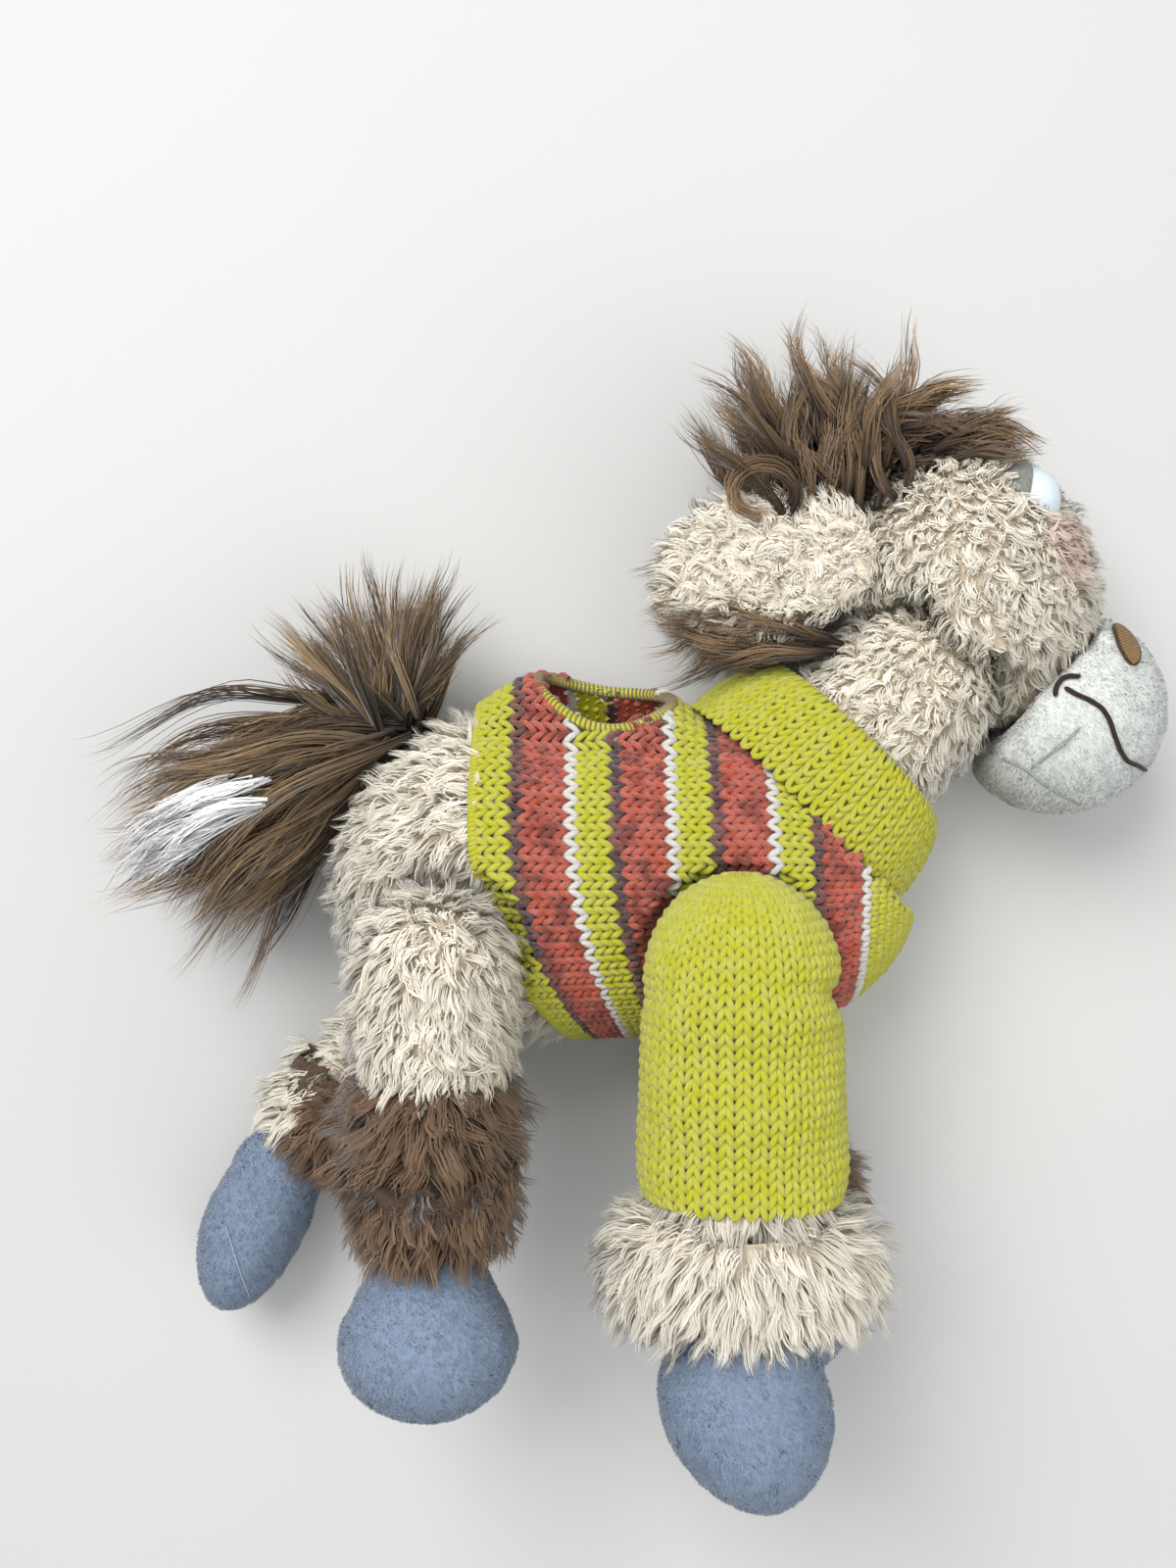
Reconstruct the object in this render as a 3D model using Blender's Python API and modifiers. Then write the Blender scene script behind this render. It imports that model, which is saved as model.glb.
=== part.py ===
"""A plush horse in a knitted sweater, lying on its left side.

+X points to the head, +Y to the back, +Z to the horse's right side. The origin is on the surface
under the middle of the torso. Lengths are in metres.
"""

import math

import bmesh
import bpy
from mathutils import Matrix, Vector

# Cloth and clearances
GAP = 0.0003  # left between pieces that touch
PLAY = 0.0006  # left round a piece that swings
PLUSH = 0.0016
NAPPED = 0.0012
KNIT = 0.0030
FLAT = 0.0005  # how deep a form is flattened where it rests
OVERRUN = 0.0200  # how far a cutter runs past what it cuts

# Torso, from rump to chest
TORSO_LENGTH = 0.177
TORSO_DEPTH = 0.097
TORSO_WIDTH = 0.083
TORSO_DEPTH_SHARES = (1.05, 1.07, 1.03, 0.95, 0.92, 0.91, 0.92, 0.90, 0.85)
TORSO_WIDTH_SHARES = (1.00, 1.03, 1.03, 0.97, 0.92, 0.92, 0.93, 0.90, 0.85)
MID = TORSO_WIDTH / 2 - FLAT

# Sweater
HEM_SHARE = -0.25  # of the torso's length, from its middle
RIDGE_RISE = 0.017
RIDGE_HALF = 0.024
RIDGE_FROM_SHARE, RIDGE_TO_SHARE = -0.30, 0.17
SCOOP_LENGTH = 0.042
SCOOP_WIDTH = 0.034
SCOOP_SHARE = -0.038
ARMHOLE_SHARE = 0.6  # of the sleeve's half width

# Neck and collar
NECK_TILT = math.radians(45)
NECK_X_SHARE = 0.294
NECK_Y_SHARE = 0.247
NECK_RADIUS = 0.031
NECK_BASE_RADIUS = 0.028
NECK_LENGTH = 0.047
COLLAR_HEIGHT = 0.024
COLLAR_BASE_HALF = 0.044
COLLAR_BASE_THICK = 0.034
COLLAR_TOP_HALF = 0.038
COLLAR_RING_SHARES = (0, 0.35, 0.7, 1)

# Head
HEAD_LENGTH = 0.092
HEAD_DEPTH = 0.082
HEAD_WIDTH = 0.083
HEAD_ALONG = 0.082  # from the foot of the neck, along the neck
HEAD_BACK = 0.0085  # from the neck's line, towards the back
HEAD_WIDE_SHARES = (0.95, 0.98, 1.02, 1.03, 1.00, 0.98, 0.95, 0.93, 0.95)
HEAD_SET = 0.0345  # the head keeps this far up the neck, clear of the collar
NOD_ROOM = math.radians(14)  # the hollow under the head, each way
MUZZLE_RADIUS = 0.035
MUZZLE_FORWARD = 0.030
MUZZLE_DROP = 0.035
EYE_RADIUS = 0.0110
EYE_FORWARD = 0.0215
EYE_RISE = 0.0300
EYE_SIDE = 0.0180
LID_THICK = 0.0016
LID_SHARES = (-1, 0.35, -0.2)  # the lid covers the eye's back: forward, up, to the side
LID_CUT_SHARE = 0.25  # of the eye's radius, from its middle to the lid's rim
NOSTRIL_LENGTH = 0.0110
NOSTRIL_WIDTH = 0.0055
NOSTRIL_THICK = 0.0012
NOSTRIL_SHARES = (0.37, 0.53, 0.76)  # direction on the muzzle: forward, up, to the side
THREAD_RADIUS = 0.0007
MOUTH_SHARES = (  # directions on the muzzle: forward, up, to the side
    (0.08, 0.20, 0.97), (0.16, 0.27, 0.94), (0.28, 0.27, 0.92), (0.42, 0.16, 0.89),
    (0.53, -0.02, 0.85), (0.62, -0.19, 0.76), (0.71, -0.35, 0.61), (0.78, -0.47, 0.40),
    (0.82, -0.54, 0.16),
)
EAR_LENGTH = 0.066
EAR_WIDTH = 0.038
EAR_THICK = 0.0085
EAR_BACK = 0.028
EAR_RISE = 0.010
EAR_SIDE = 0.0262
EAR_DROOP = 0.0040
LINING_THICK = 0.0040
LINING_SHARE = 0.74
EAR_WIDE_SHARES = (0.85, 0.92, 1.0, 1.08, 1.12, 1.12, 1.08, 1.0, 0.95)

# Mane, as masses of hair on the head
FORELOCK_LENGTH = 0.054
FORELOCK_WIDE = 0.010
FORELOCK_TILT = math.radians(-4)
FORELOCK_AT_SHARES = (-0.75, 1.04)  # of the head's half depth forward, and of its half length up
CREST_LENGTH = 0.060
CREST_WIDE = 0.020
CREST_TILT = math.radians(88)
CREST_AT_SHARES = (-1.0, 0.55)
NAPE_LENGTH = 0.052
NAPE_WIDE = 0.014
NAPE_TILT = math.radians(-135)
NAPE_AT_SHARES = (-0.88, 0.5)
MANE_THICK = 0.016
HAIR_SHARES = (0.7, 0.9, 1.05, 1.1, 1.1, 1.0, 0.85, 0.65, 0.4)

# Tail
TAIL_AT_SHARE = 0.115  # where along the torso it is sewn
TAIL_STEP_SHARE = 0.01  # how far each way the back's slope is taken there
TAIL_LOW, TAIL_HIGH = math.radians(-22), math.radians(8)
TAIL_BALL = 0.0095
TAIL_OUT_SHARE = 0.6  # of the ball's radius, from the rump to its middle
TAIL_LENGTH = 0.107
TAIL_WIDE = 0.030
TAIL_THICK = 0.022
TAIL_TILT = math.radians(219)
TAIL_SHARES = (0.5, 0.6, 0.75, 0.9, 1.0, 1.1, 1.15, 1.15, 1.1)
TUFT_LENGTH = 0.050
TUFT_WIDE = 0.020
TUFT_THICK = 0.016
TUFT_TILT = math.radians(93)
TIP_LENGTH = 0.036
TIP_WIDE = 0.0095
TIP_TILT = math.radians(197)
TIP_OUT = 0.058

# Legs: inner faces stand this far from the middle plane
SEAT_RISE = 0.022
LEG_THICK = 0.026
THIGH_START = 0.037  # past here a left thigh is as thick as the leg
HIP_SHARE = 0.34  # how thick the left hip is pressed, of the leg
LEG_SHARES = (1.00, 1.00, 1.00, 0.97, 0.92, 0.88, 0.86, 0.86, 0.86)
ARM_SHARES = (0.98, 1.00, 1.00, 0.98, 0.97, 0.98, 1.00, 0.95, 0.85)
LEFT_HIGH_SHARES = (0.34, 0.34, 0.34, 0.34, 0.34, 0.55, 0.90, 1.00, 1.00)
FULL_SHARES = (1.0, 1.0, 1.0, 1.0, 1.0, 1.0, 1.0, 1.0, 1.0)
CUFF_SHARES = (0.90, 0.95, 1.00, 1.03, 1.04, 1.04, 1.03, 1.00, 0.95)
CUFF_BLUNT = 9
CUFF_RISE_SHARE = 0.45  # of the ball's radius, from the ankle to the cuff's lower rim
HOOF_THICK_SHARE = 0.94

# Each hip lies at its share of the torso's length from the middle.
LEGS = {
    "right_rear": {
        "side": 1, "hip_share": -0.3107, "hip_y": -0.021, "rest": -1, "low": -50, "high": 8,
        "wide": 0.0250, "ankle": 0.092, "cuff": 0.0390, "cuff_wide": 0.0235, "cuff_thick": 0.0255,
        "ball": 0.0200, "hoof_wide": 0.0275, "hoof_length": 0.035, "hoof_turn": 0, "sleeve": None,
    },
    "right_front": {
        "side": 1, "hip_share": 0.1751, "hip_y": -0.025, "rest": 0, "low": -8, "high": 50,
        "wide": 0.0290, "ankle": 0.107, "cuff": 0.0600, "cuff_wide": 0.0370, "cuff_thick": 0.0262,
        "ball": 0.0240, "hoof_wide": 0.0280, "hoof_length": 0.041, "hoof_turn": 0, "sleeve": 0.0595,
    },
    "left_rear": {
        "side": -1, "hip_share": -0.2994, "hip_y": -0.030, "rest": -42, "low": -8, "high": 48,
        "wide": 0.0220, "ankle": 0.088, "cuff": 0.0430, "cuff_wide": 0.0225, "cuff_thick": 0.0250,
        "ball": 0.0175, "hoof_wide": 0.0200, "hoof_length": 0.044, "hoof_turn": 22, "sleeve": None,
    },
    "left_front": {
        "side": -1, "hip_share": 0.2260, "hip_y": -0.027, "rest": 5, "low": -12, "high": 40,
        "wide": 0.0270, "ankle": 0.098, "cuff": 0.0560, "cuff_wide": 0.0260, "cuff_thick": 0.0262,
        "ball": 0.0220, "hoof_wide": 0.0255, "hoof_length": 0.038, "hoof_turn": 0, "sleeve": 0.0555,
    },
}

TORSO_SIDES, TORSO_RINGS = 20, 12
LEG_SIDES, LEG_RINGS = 12, 10
HEAD_SIDES, HEAD_RINGS = 18, 10

# Colours, as base colour, roughness
CREAM = ((0.72, 0.62, 0.50), 0.95)
BROWN = ((0.16, 0.09, 0.055), 0.90)
WHITE_HAIR = ((0.75, 0.77, 0.80), 0.85)
HOOF_BLUE = ((0.25, 0.30, 0.45), 0.90)
MUZZLE_GREY = ((0.52, 0.54, 0.54), 0.90)
FILLING = ((0.85, 0.85, 0.83), 1.00)
LIME = ((0.52, 0.56, 0.04), 0.95)
CORAL = ((0.62, 0.13, 0.09), 0.95)
EYE_WHITE = ((0.80, 0.84, 0.86), 0.45)
TAUPE = ((0.21, 0.20, 0.17), 0.90)
THREAD_BROWN = ((0.06, 0.035, 0.025), 0.80)
NOSTRIL_BROWN = ((0.26, 0.16, 0.07), 0.85)

FLOOR_SIZE = TORSO_LENGTH * 4


def clear_scene():
    for thing in list(bpy.data.objects):
        bpy.data.objects.remove(thing, do_unlink=True)


def new_collection(name):
    collection = bpy.data.collections.new(name)
    bpy.context.scene.collection.children.link(collection)
    return collection


def finish_of(name, look):
    colour, roughness = look
    material = bpy.data.materials.new(name)
    material.use_nodes = True
    shader = material.node_tree.nodes["Principled BSDF"]
    shader.inputs["Base Color"].default_value = (*colour, 1)
    shader.inputs["Roughness"].default_value = roughness
    shader.inputs["Metallic"].default_value = 0
    return material


def place(bm, name, collection, parent=None):
    """Make an object of a bmesh, drawn in its parent's frame."""
    bmesh.ops.recalc_face_normals(bm, faces=bm.faces[:])
    mesh = bpy.data.meshes.new(name)
    bm.to_mesh(mesh)
    bm.free()
    thing = bpy.data.objects.new(name, mesh)
    collection.objects.link(thing)
    if parent:
        thing.parent = parent
    return thing


def piece(bm, name, look, parent=None):
    thing = place(bm, name, PARTS, parent)
    thing.data.materials.append(finish_of(name, look))
    thing.data.shade_smooth()
    return thing


def cutter(bm, name, parent=None):
    thing = place(bm, name, CUTTERS, parent)
    thing.hide_render = True
    thing.display_type = "WIRE"
    return thing


def cut(thing, *cutters):
    for tool in cutters:
        modifier = thing.modifiers.new("cut by " + tool.name, "BOOLEAN")
        modifier.operation = "DIFFERENCE"
        modifier.solver = "EXACT"
        modifier.object = tool
    return thing


def thicken(thing, thickness):
    """Give an open surface its cloth, inward."""
    modifier = thing.modifiers.new("cloth", "SOLIDIFY")
    modifier.thickness = thickness
    modifier.offset = -1
    return thing


def pivot(name, location, angle=0, parent=None):
    """An empty on a joint's axis."""
    empty = bpy.data.objects.new(name, None)
    PARTS.objects.link(empty)
    empty.location = location
    empty.rotation_euler = (0, 0, angle)
    if parent:
        empty.parent = parent
    return empty


def hang(name, at, things, above=None):
    """Put an empty on a joint's axis and hang finished pieces on it, where they stand."""
    empty = pivot(name, at)
    for thing in things:
        thing.parent = empty
        thing.matrix_parent_inverse = Matrix.Translation(-at)
    if above:
        empty.parent = above
        empty.matrix_parent_inverse = Matrix.Translation(-above.matrix_basis.translation)
    return empty


def named(*names):
    return [PARTS.objects[name] for name in names]


def smooth(shares, t):
    """Read a table of evenly spaced shares at t from 0 to 1, as a smooth curve."""
    at = t * (len(shares) - 1)
    k = min(int(at), len(shares) - 2)
    f = at - k
    before, a = shares[max(k - 1, 0)], shares[k]
    b, after = shares[k + 1], shares[min(k + 2, len(shares) - 1)]
    slope_a, slope_b = (b - before) / 2, (after - a) / 2
    return (
        a * (2 * f**3 - 3 * f**2 + 1)
        + slope_a * (f**3 - 2 * f**2 + f)
        + b * (3 * f**2 - 2 * f**3)
        + slope_b * (f**3 - f**2)
    )


def roundness(t, blunt):
    """How wide a stuffed form is at t from 0 to 1, with rounded ends."""
    return math.sqrt(max(0.0, 1 - abs(2 * t - 1) ** blunt))


def stations(count):
    return [(1 - math.cos(math.pi * i / count)) / 2 for i in range(count + 1)]


def loft(rings, sides, layered=False):
    """A closed surface through rings of (centre, half axis, half axis); a ring of no size is a point.

    Layers that lie close to each other are split into triangles along the same diagonals.
    """
    bm = bmesh.new()
    rows = []
    for centre, across, up in rings:
        if across.length < GAP:
            rows.append([bm.verts.new(centre)])
            continue
        turns = [2 * math.pi * k / sides for k in range(sides)]
        rows.append([bm.verts.new(centre + across * math.cos(a) + up * math.sin(a)) for a in turns])
    places = [ring[0] for ring in rings]
    line = max((place - places[0] for place in places), key=lambda way: way.length)
    for n, (row, after) in enumerate(zip(rows, rows[1:])):
        onward = (places[n + 1] - places[n]).dot(line) >= 0
        for k in range(sides):
            j = (k + 1) % sides
            if len(row) == 1:
                bm.faces.new((row[0], after[k], after[j]))
            elif len(after) == 1:
                bm.faces.new((row[k], row[j], after[0]))
            elif not layered:
                bm.faces.new((row[k], row[j], after[j], after[k]))
            elif onward:
                bm.faces.new((row[k], row[j], after[j]))
                bm.faces.new((row[k], after[j], after[k]))
            else:
                bm.faces.new((row[k], row[j], after[k]))
                bm.faces.new((row[j], after[j], after[k]))
    for row in (rows[0], rows[-1]):
        if len(row) > 1:
            bm.faces.new(row)
    bmesh.ops.recalc_face_normals(bm, faces=bm.faces[:])
    return bm


def form(start, end, wide, thick, wide_shares, thick_shares, sides, count, blunt=None):
    """A stuffed form between two points of the plane, its thickness along Z."""
    line = end - start
    blunt = blunt or max(2.0, line.length / wide)
    across = Vector((line.y, -line.x, 0)).normalized()
    rings = []
    for t in stations(count):
        full = roundness(t, blunt)
        half = wide * smooth(wide_shares, t) * full
        rise = thick * smooth(thick_shares, t) * full
        rings.append((start + line * t, across * half, Vector((0, 0, rise))))
    return loft(rings, sides)


def grown(bm, by):
    """The same form, moved out along its normals; a negative size moves it in."""
    bm.normal_update()
    moves = [(v, v.normal * by) for v in bm.verts]
    for v, move in moves:
        v.co += move
    return bm


def opened(bm, plane_at, plane_normal):
    """Take away what lies past a plane and leave the form open there."""
    everything = bm.verts[:] + bm.edges[:] + bm.faces[:]
    bmesh.ops.bisect_plane(bm, geom=everything, plane_co=plane_at, plane_no=plane_normal, clear_outer=True)
    return bm


def ball(radius, half_z=None, centre=None, sides=12, rows=8):
    bm = bmesh.new()
    bmesh.ops.create_uvsphere(bm, u_segments=sides, v_segments=rows, radius=radius)
    bmesh.ops.scale(bm, vec=(1, 1, (half_z or radius) / radius), verts=bm.verts)
    if centre:
        bmesh.ops.translate(bm, vec=centre, verts=bm.verts)
    return bm


def socket(radius, half_z=None, sides=18, rows=12):
    """A ball-shaped cutter whose flat facets all lie outside a ball of this radius."""
    reach = 1 / (math.cos(math.pi / sides) * math.cos(math.pi / 2 / rows))
    return ball(radius * reach, (half_z or radius) * reach, None, sides, rows)


def block(low, high):
    bm = bmesh.new()
    bmesh.ops.create_cube(bm, size=1)
    size = [b - a for a, b in zip(low, high)]
    middle = [(a + b) / 2 for a, b in zip(low, high)]
    bmesh.ops.scale(bm, vec=size, verts=bm.verts)
    bmesh.ops.translate(bm, vec=middle, verts=bm.verts)
    return bm


def prism(outline, low, high):
    bm = bmesh.new()
    face = bm.faces.new([bm.verts.new((x, y, low)) for x, y in outline])
    made = bmesh.ops.extrude_face_region(bm, geom=[face])["geom"]
    raised = [v for v in made if isinstance(v, bmesh.types.BMVert)]
    bmesh.ops.translate(bm, vec=(0, 0, high - low), verts=raised)
    return bm


def down(angle):
    """The way a leg points when it is swung by an angle from straight down, towards the head."""
    return Vector((math.sin(angle), -math.cos(angle)))


def fan(radius, reach, first, last, start=0):
    """What a leg of this half width sweeps about its hip between two angles."""
    side = math.pi / 2
    steps = range(9)
    swept = [first + (last - first) * k / steps[-1] for k in steps]
    outline = [down(first - side) * radius + down(first) * start]
    outline += [down(first - side) * radius + down(first) * reach]
    outline += [down(a) * math.hypot(reach, radius) for a in swept[1:-1]]
    outline += [down(last + side) * radius + down(last) * reach]
    outline += [down(last + side) * radius + down(last) * start]
    if start:
        outline += [down(a) * start for a in reversed(swept)]
    else:
        turn = 2 * math.pi - 2 * side - (last - first)
        outline += [down(last + side + turn * k / steps[-1]) * radius for k in steps[1:-1]]
    return outline


def torso_form():
    start = Vector((-TORSO_LENGTH / 2, 0, MID))
    end = Vector((TORSO_LENGTH / 2, 0, MID))
    return form(
        start, end, TORSO_DEPTH / 2, TORSO_WIDTH / 2,
        TORSO_DEPTH_SHARES, TORSO_WIDTH_SHARES, TORSO_SIDES, TORSO_RINGS,
    )


def torso_back(t):
    """A point on the line of the torso's back, in the middle plane."""
    half = TORSO_DEPTH / 2
    full = roundness(t, TORSO_LENGTH / half)
    return Vector((TORSO_LENGTH * (t - 0.5), half * smooth(TORSO_DEPTH_SHARES, t) * full, MID))


def neck_frame(along, back=0):
    """A point by its distance up the neck and its distance from the neck's line."""
    foot = Vector((TORSO_LENGTH * NECK_X_SHARE, TORSO_DEPTH * NECK_Y_SHARE, MID))
    up = Vector((math.cos(NECK_TILT), math.sin(NECK_TILT), 0))
    out = Vector((-math.sin(NECK_TILT), math.cos(NECK_TILT), 0))
    return foot + up * along + out * back


def beyond_neck(name, along):
    """A cutter that takes all that is past a plane across the neck."""
    size = TORSO_LENGTH
    bm = block((0, -size, -size), (size, size, size))
    tool = cutter(bm, name)
    tool.location = neck_frame(along)
    tool.rotation_euler = (0, 0, NECK_TILT)
    return tool


def behind_neck(name, along):
    """A cutter that takes all that is short of a plane across the neck."""
    size = TORSO_LENGTH
    bm = block((-size, -size, -size), (0, size, size))
    tool = cutter(bm, name)
    tool.location = neck_frame(along)
    tool.rotation_euler = (0, 0, NECK_TILT)
    return tool


def floor_cutter():
    return cutter(block((-FLOOR_SIZE, -FLOOR_SIZE, -OVERRUN), (FLOOR_SIZE, FLOOR_SIZE, 0)), "floor")


def leg_mid(spec):
    """Height of a leg's middle above the floor."""
    if spec["side"] > 0:
        return MID + SEAT_RISE + PLAY + LEG_THICK
    return LEG_THICK - FLAT


def leg_stations(spec):
    """Where a leg's rings stand, from 0 at its top to 1 at its foot, with one at the sleeve's end."""
    marks = stations(LEG_RINGS)
    if spec["sleeve"]:
        marks.append(sleeve_end(spec))
    return sorted(marks)


def sleeve_end(spec):
    whole = spec["wide"] + spec["ankle"] - spec["ball"] - PLAY
    return (spec["wide"] + spec["sleeve"]) / whole


def leg_rings(spec, inset, last=1):
    """A leg in its own frame, hip at the origin, pointing down -Y, as far as its last station."""
    top, foot = spec["wide"], spec["ankle"] - spec["ball"] - PLAY
    shares = ARM_SHARES if spec["sleeve"] else LEG_SHARES
    high, low = top - inset, inset - foot
    rings = []
    for t in leg_stations(spec):
        if t > last:
            break
        y = top - (top + foot) * t
        if t == 0 or t == 1:
            y = high if t == 0 else low
        elif not low + inset / 2 < y < high - inset / 2:
            continue
        full = roundness((high - y) / (high - low), (top + foot) / top)
        half = (spec["wide"] * smooth(shares, t) - inset) * full
        if spec["side"] > 0:
            centre, thick = leg_mid(spec), LEG_THICK
        else:
            share = min(1.0, max(HIP_SHARE, smooth(LEFT_HIGH_SHARES, t)))
            thick = LEG_THICK * share
            centre = thick - FLAT
        at = Vector((0, y, centre))
        rings.append((at, Vector((half, 0, 0)), Vector((0, 0, (thick - inset) * full))))
    return rings


def leg_form(spec, inset=0):
    return loft(leg_rings(spec, inset), LEG_SIDES, layered=True)


def leg_shell(spec, inset, cloth, last):
    """Cloth round a leg: out along its outer face and back along its inner one."""
    outer = leg_rings(spec, inset, last)
    inner = leg_rings(spec, inset + cloth, last)
    return loft(outer + inner[::-1], LEG_SIDES, layered=True)


def hip_cutters(name, spec, hip):
    """Pockets in the torso that a leg swings in."""
    rest = math.radians(spec["rest"])
    first, last = (rest + math.radians(spec[k]) for k in ("low", "high"))
    radius = spec["wide"] + PLAY
    reach = TORSO_LENGTH / 2
    outline = fan(radius, reach, first, last)
    if spec["side"] > 0:
        tools = [cutter(prism(outline, MID + SEAT_RISE, MID * 2 + OVERRUN), name + "_pocket")]
    else:
        tools = [cutter(prism(outline, -OVERRUN, MID - SEAT_RISE), name + "_pocket")]
        low = fan(radius, reach, first, last, THIGH_START)
        tools += [cutter(prism(low, -OVERRUN, LEG_THICK * 2 + PLAY), name + "_thigh_room")]
    for tool in tools:
        tool.location = hip.location.xy.to_3d()
    return tools


def hoof_form(spec, outward=0):
    """A hoof in the ankle's frame: a ball for the ankle, run into the egg of the foot."""
    radius, wide, reach = spec["ball"], spec["hoof_wide"], spec["hoof_length"]
    egg_half = (reach + radius * CUFF_RISE_SHARE) / 2
    egg_at = reach - egg_half
    rings = []
    for t in stations(HEAD_RINGS):
        y = radius - (radius + reach) * t
        of_ball = math.sqrt(max(0.0, radius**2 - y**2))
        of_egg = wide * math.sqrt(max(0.0, 1 - ((y + egg_at) / egg_half) ** 2))
        half = max(of_ball, of_egg)
        rings.append((Vector((0, y, 0)), Vector((half, 0, 0)), Vector((0, 0, half * HOOF_THICK_SHARE))))
    return grown(loft(rings, LEG_SIDES), outward)


def build_leg(name, spec, pockets):
    hip = pivot(name + "_hip", (TORSO_LENGTH * spec["hip_share"], spec["hip_y"], 0), math.radians(spec["rest"]))
    mid = leg_mid(spec)
    ankle = pivot(name + "_ankle", (0, -spec["ankle"], mid), math.radians(spec["hoof_turn"]), hip)
    floor = [FLOOR] if spec["side"] < 0 else []
    pockets += hip_cutters(name, spec, hip)
    under = KNIT + GAP if spec["sleeve"] else 0

    last = leg_stations(spec)[-3]
    cut(piece(leg_shell(spec, under, PLUSH, last), name + "_leg_skin", CREAM, hip), *floor)
    filling = leg_form(spec, under + PLUSH + GAP)
    cut(piece(filling, name + "_leg_stuffing", FILLING, hip), *floor)

    rim = spec["ankle"] - spec["ball"] * CUFF_RISE_SHARE
    look = CREAM if name == "right_front" else BROWN
    band = form(
        Vector((0, -spec["cuff"], mid)), Vector((0, -rim, mid)), spec["cuff_wide"], spec["cuff_thick"],
        CUFF_SHARES, FULL_SHARES, LEG_SIDES + 4, LEG_RINGS - 4, CUFF_BLUNT,
    )
    bore = cutter(leg_form(spec, under - GAP), name + "_leg_bore", hip)
    if spec["sleeve"]:
        build_sleeve(name, spec, hip, bore, floor)
    cup = cutter(socket(spec["ball"] + PLAY, spec["ball"] * HOOF_THICK_SHARE + PLAY), name + "_cup", ankle)
    cut(piece(band, name + "_cuff", look, hip), bore, cup, *floor)

    neck_of_hoof = Vector((0, spec["ball"] - PLUSH * 2, 0))
    shell = opened(hoof_form(spec), neck_of_hoof, Vector((0, 1, 0)))
    cut(thicken(piece(shell, name + "_hoof_skin", HOOF_BLUE, ankle), NAPPED), *floor)
    cut(piece(hoof_form(spec, -NAPPED - GAP), name + "_hoof_stuffing", FILLING, ankle), *floor)


def build_sleeve(name, spec, hip, bore, floor):
    """A knitted sleeve, and the tab that joins the leg to the torso through its armhole."""
    sleeve = piece(leg_shell(spec, 0, KNIT, sleeve_end(spec)), name + "_sleeve", LIME, hip)
    hole = spec["wide"] * ARMHOLE_SHARE
    mid = leg_mid(spec)
    low, high = LEG_THICK * HIP_SHARE, MID - SEAT_RISE - PLAY
    through = low
    if spec["side"] > 0:
        low, high = mid - LEG_THICK, mid
        through = low - OVERRUN
    armhole = cutter(prism(round_outline(hole), through, high), name + "_armhole", hip)
    cut(sleeve, armhole, *floor)
    tab = prism(round_outline(hole - GAP), low, high)
    cut(piece(tab, name + "_hip_tab", CREAM, hip), bore)


def round_outline(radius):
    return [down(2 * math.pi * k / LEG_SIDES) * radius for k in range(LEG_SIDES)]


def build_torso(pockets, tail_at):
    seat = beyond_neck("neck_seat", 0)
    dent = cutter(socket(TAIL_BALL + PLAY), "tail_dent")
    dent.location = tail_at
    skin = piece(torso_form(), "torso_skin", CREAM)
    cut(thicken(skin, PLUSH), seat, dent, FLOOR, *pockets)
    filling = piece(grown(torso_form(), -PLUSH - GAP), "torso_stuffing", FILLING)
    cut(filling, seat, dent, *pockets)


def build_sweater(pockets):
    """A knitted body with a loose ridge on the back and a scoop-shaped opening in it."""
    hem = Vector((TORSO_LENGTH * HEM_SHARE, 0, MID))
    body = grown(torso_form(), GAP + KNIT)
    opened(body, hem, Vector((-1, 0, 0)))
    first, last = TORSO_LENGTH * RIDGE_FROM_SHARE, TORSO_LENGTH * RIDGE_TO_SHARE
    for v in body.verts:
        along = (v.co.x - first) / (last - first)
        aside = (v.co.z - MID) / RIDGE_HALF
        if v.co.y > 0 and 0 < along < 1 and abs(aside) < 1:
            v.co.y += RIDGE_RISE * math.sin(math.pi * along) * math.cos(math.pi * aside / 2)
    knit = piece(body, "sweater_body", CORAL)
    scoop_at = Vector((TORSO_LENGTH * SCOOP_SHARE, 0, MID))
    round_hole = [
        (SCOOP_LENGTH / 2 * math.cos(a), SCOOP_WIDTH / 2 * math.sin(a))
        for a in (2 * math.pi * k / LEG_SIDES for k in range(LEG_SIDES))
    ]
    scoop = cutter(prism(round_hole, 0, TORSO_DEPTH), "scoop")
    scoop.location = scoop_at
    scoop.rotation_euler = (-math.pi / 2, 0, 0)
    seat = beyond_neck("collar_seat", 0)
    cut(thicken(knit, KNIT), seat, FLOOR, scoop, *pockets)

    collar = loft(collar_rings(0) + collar_rings(KNIT)[::-1], TORSO_SIDES)
    ends = [f for f in collar.faces if len(f.verts) > 4]
    bmesh.ops.delete(collar, geom=ends, context="FACES_ONLY")
    foot = [e for e in collar.edges if e.is_boundary]
    bmesh.ops.bridge_loops(collar, edges=foot)
    cut(piece(collar, "sweater_collar", LIME), FLOOR)


def collar_rings(inset):
    out = Vector((-math.sin(NECK_TILT), math.cos(NECK_TILT), 0))
    rings = []
    for share in COLLAR_RING_SHARES:
        half = COLLAR_BASE_HALF + (COLLAR_TOP_HALF - COLLAR_BASE_HALF) * share - inset
        thick = COLLAR_BASE_THICK + (COLLAR_TOP_HALF - COLLAR_BASE_THICK) * share - inset
        at = neck_frame(GAP + COLLAR_HEIGHT * share)
        rings.append((at, out * half, Vector((0, 0, thick))))
    return rings


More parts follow.
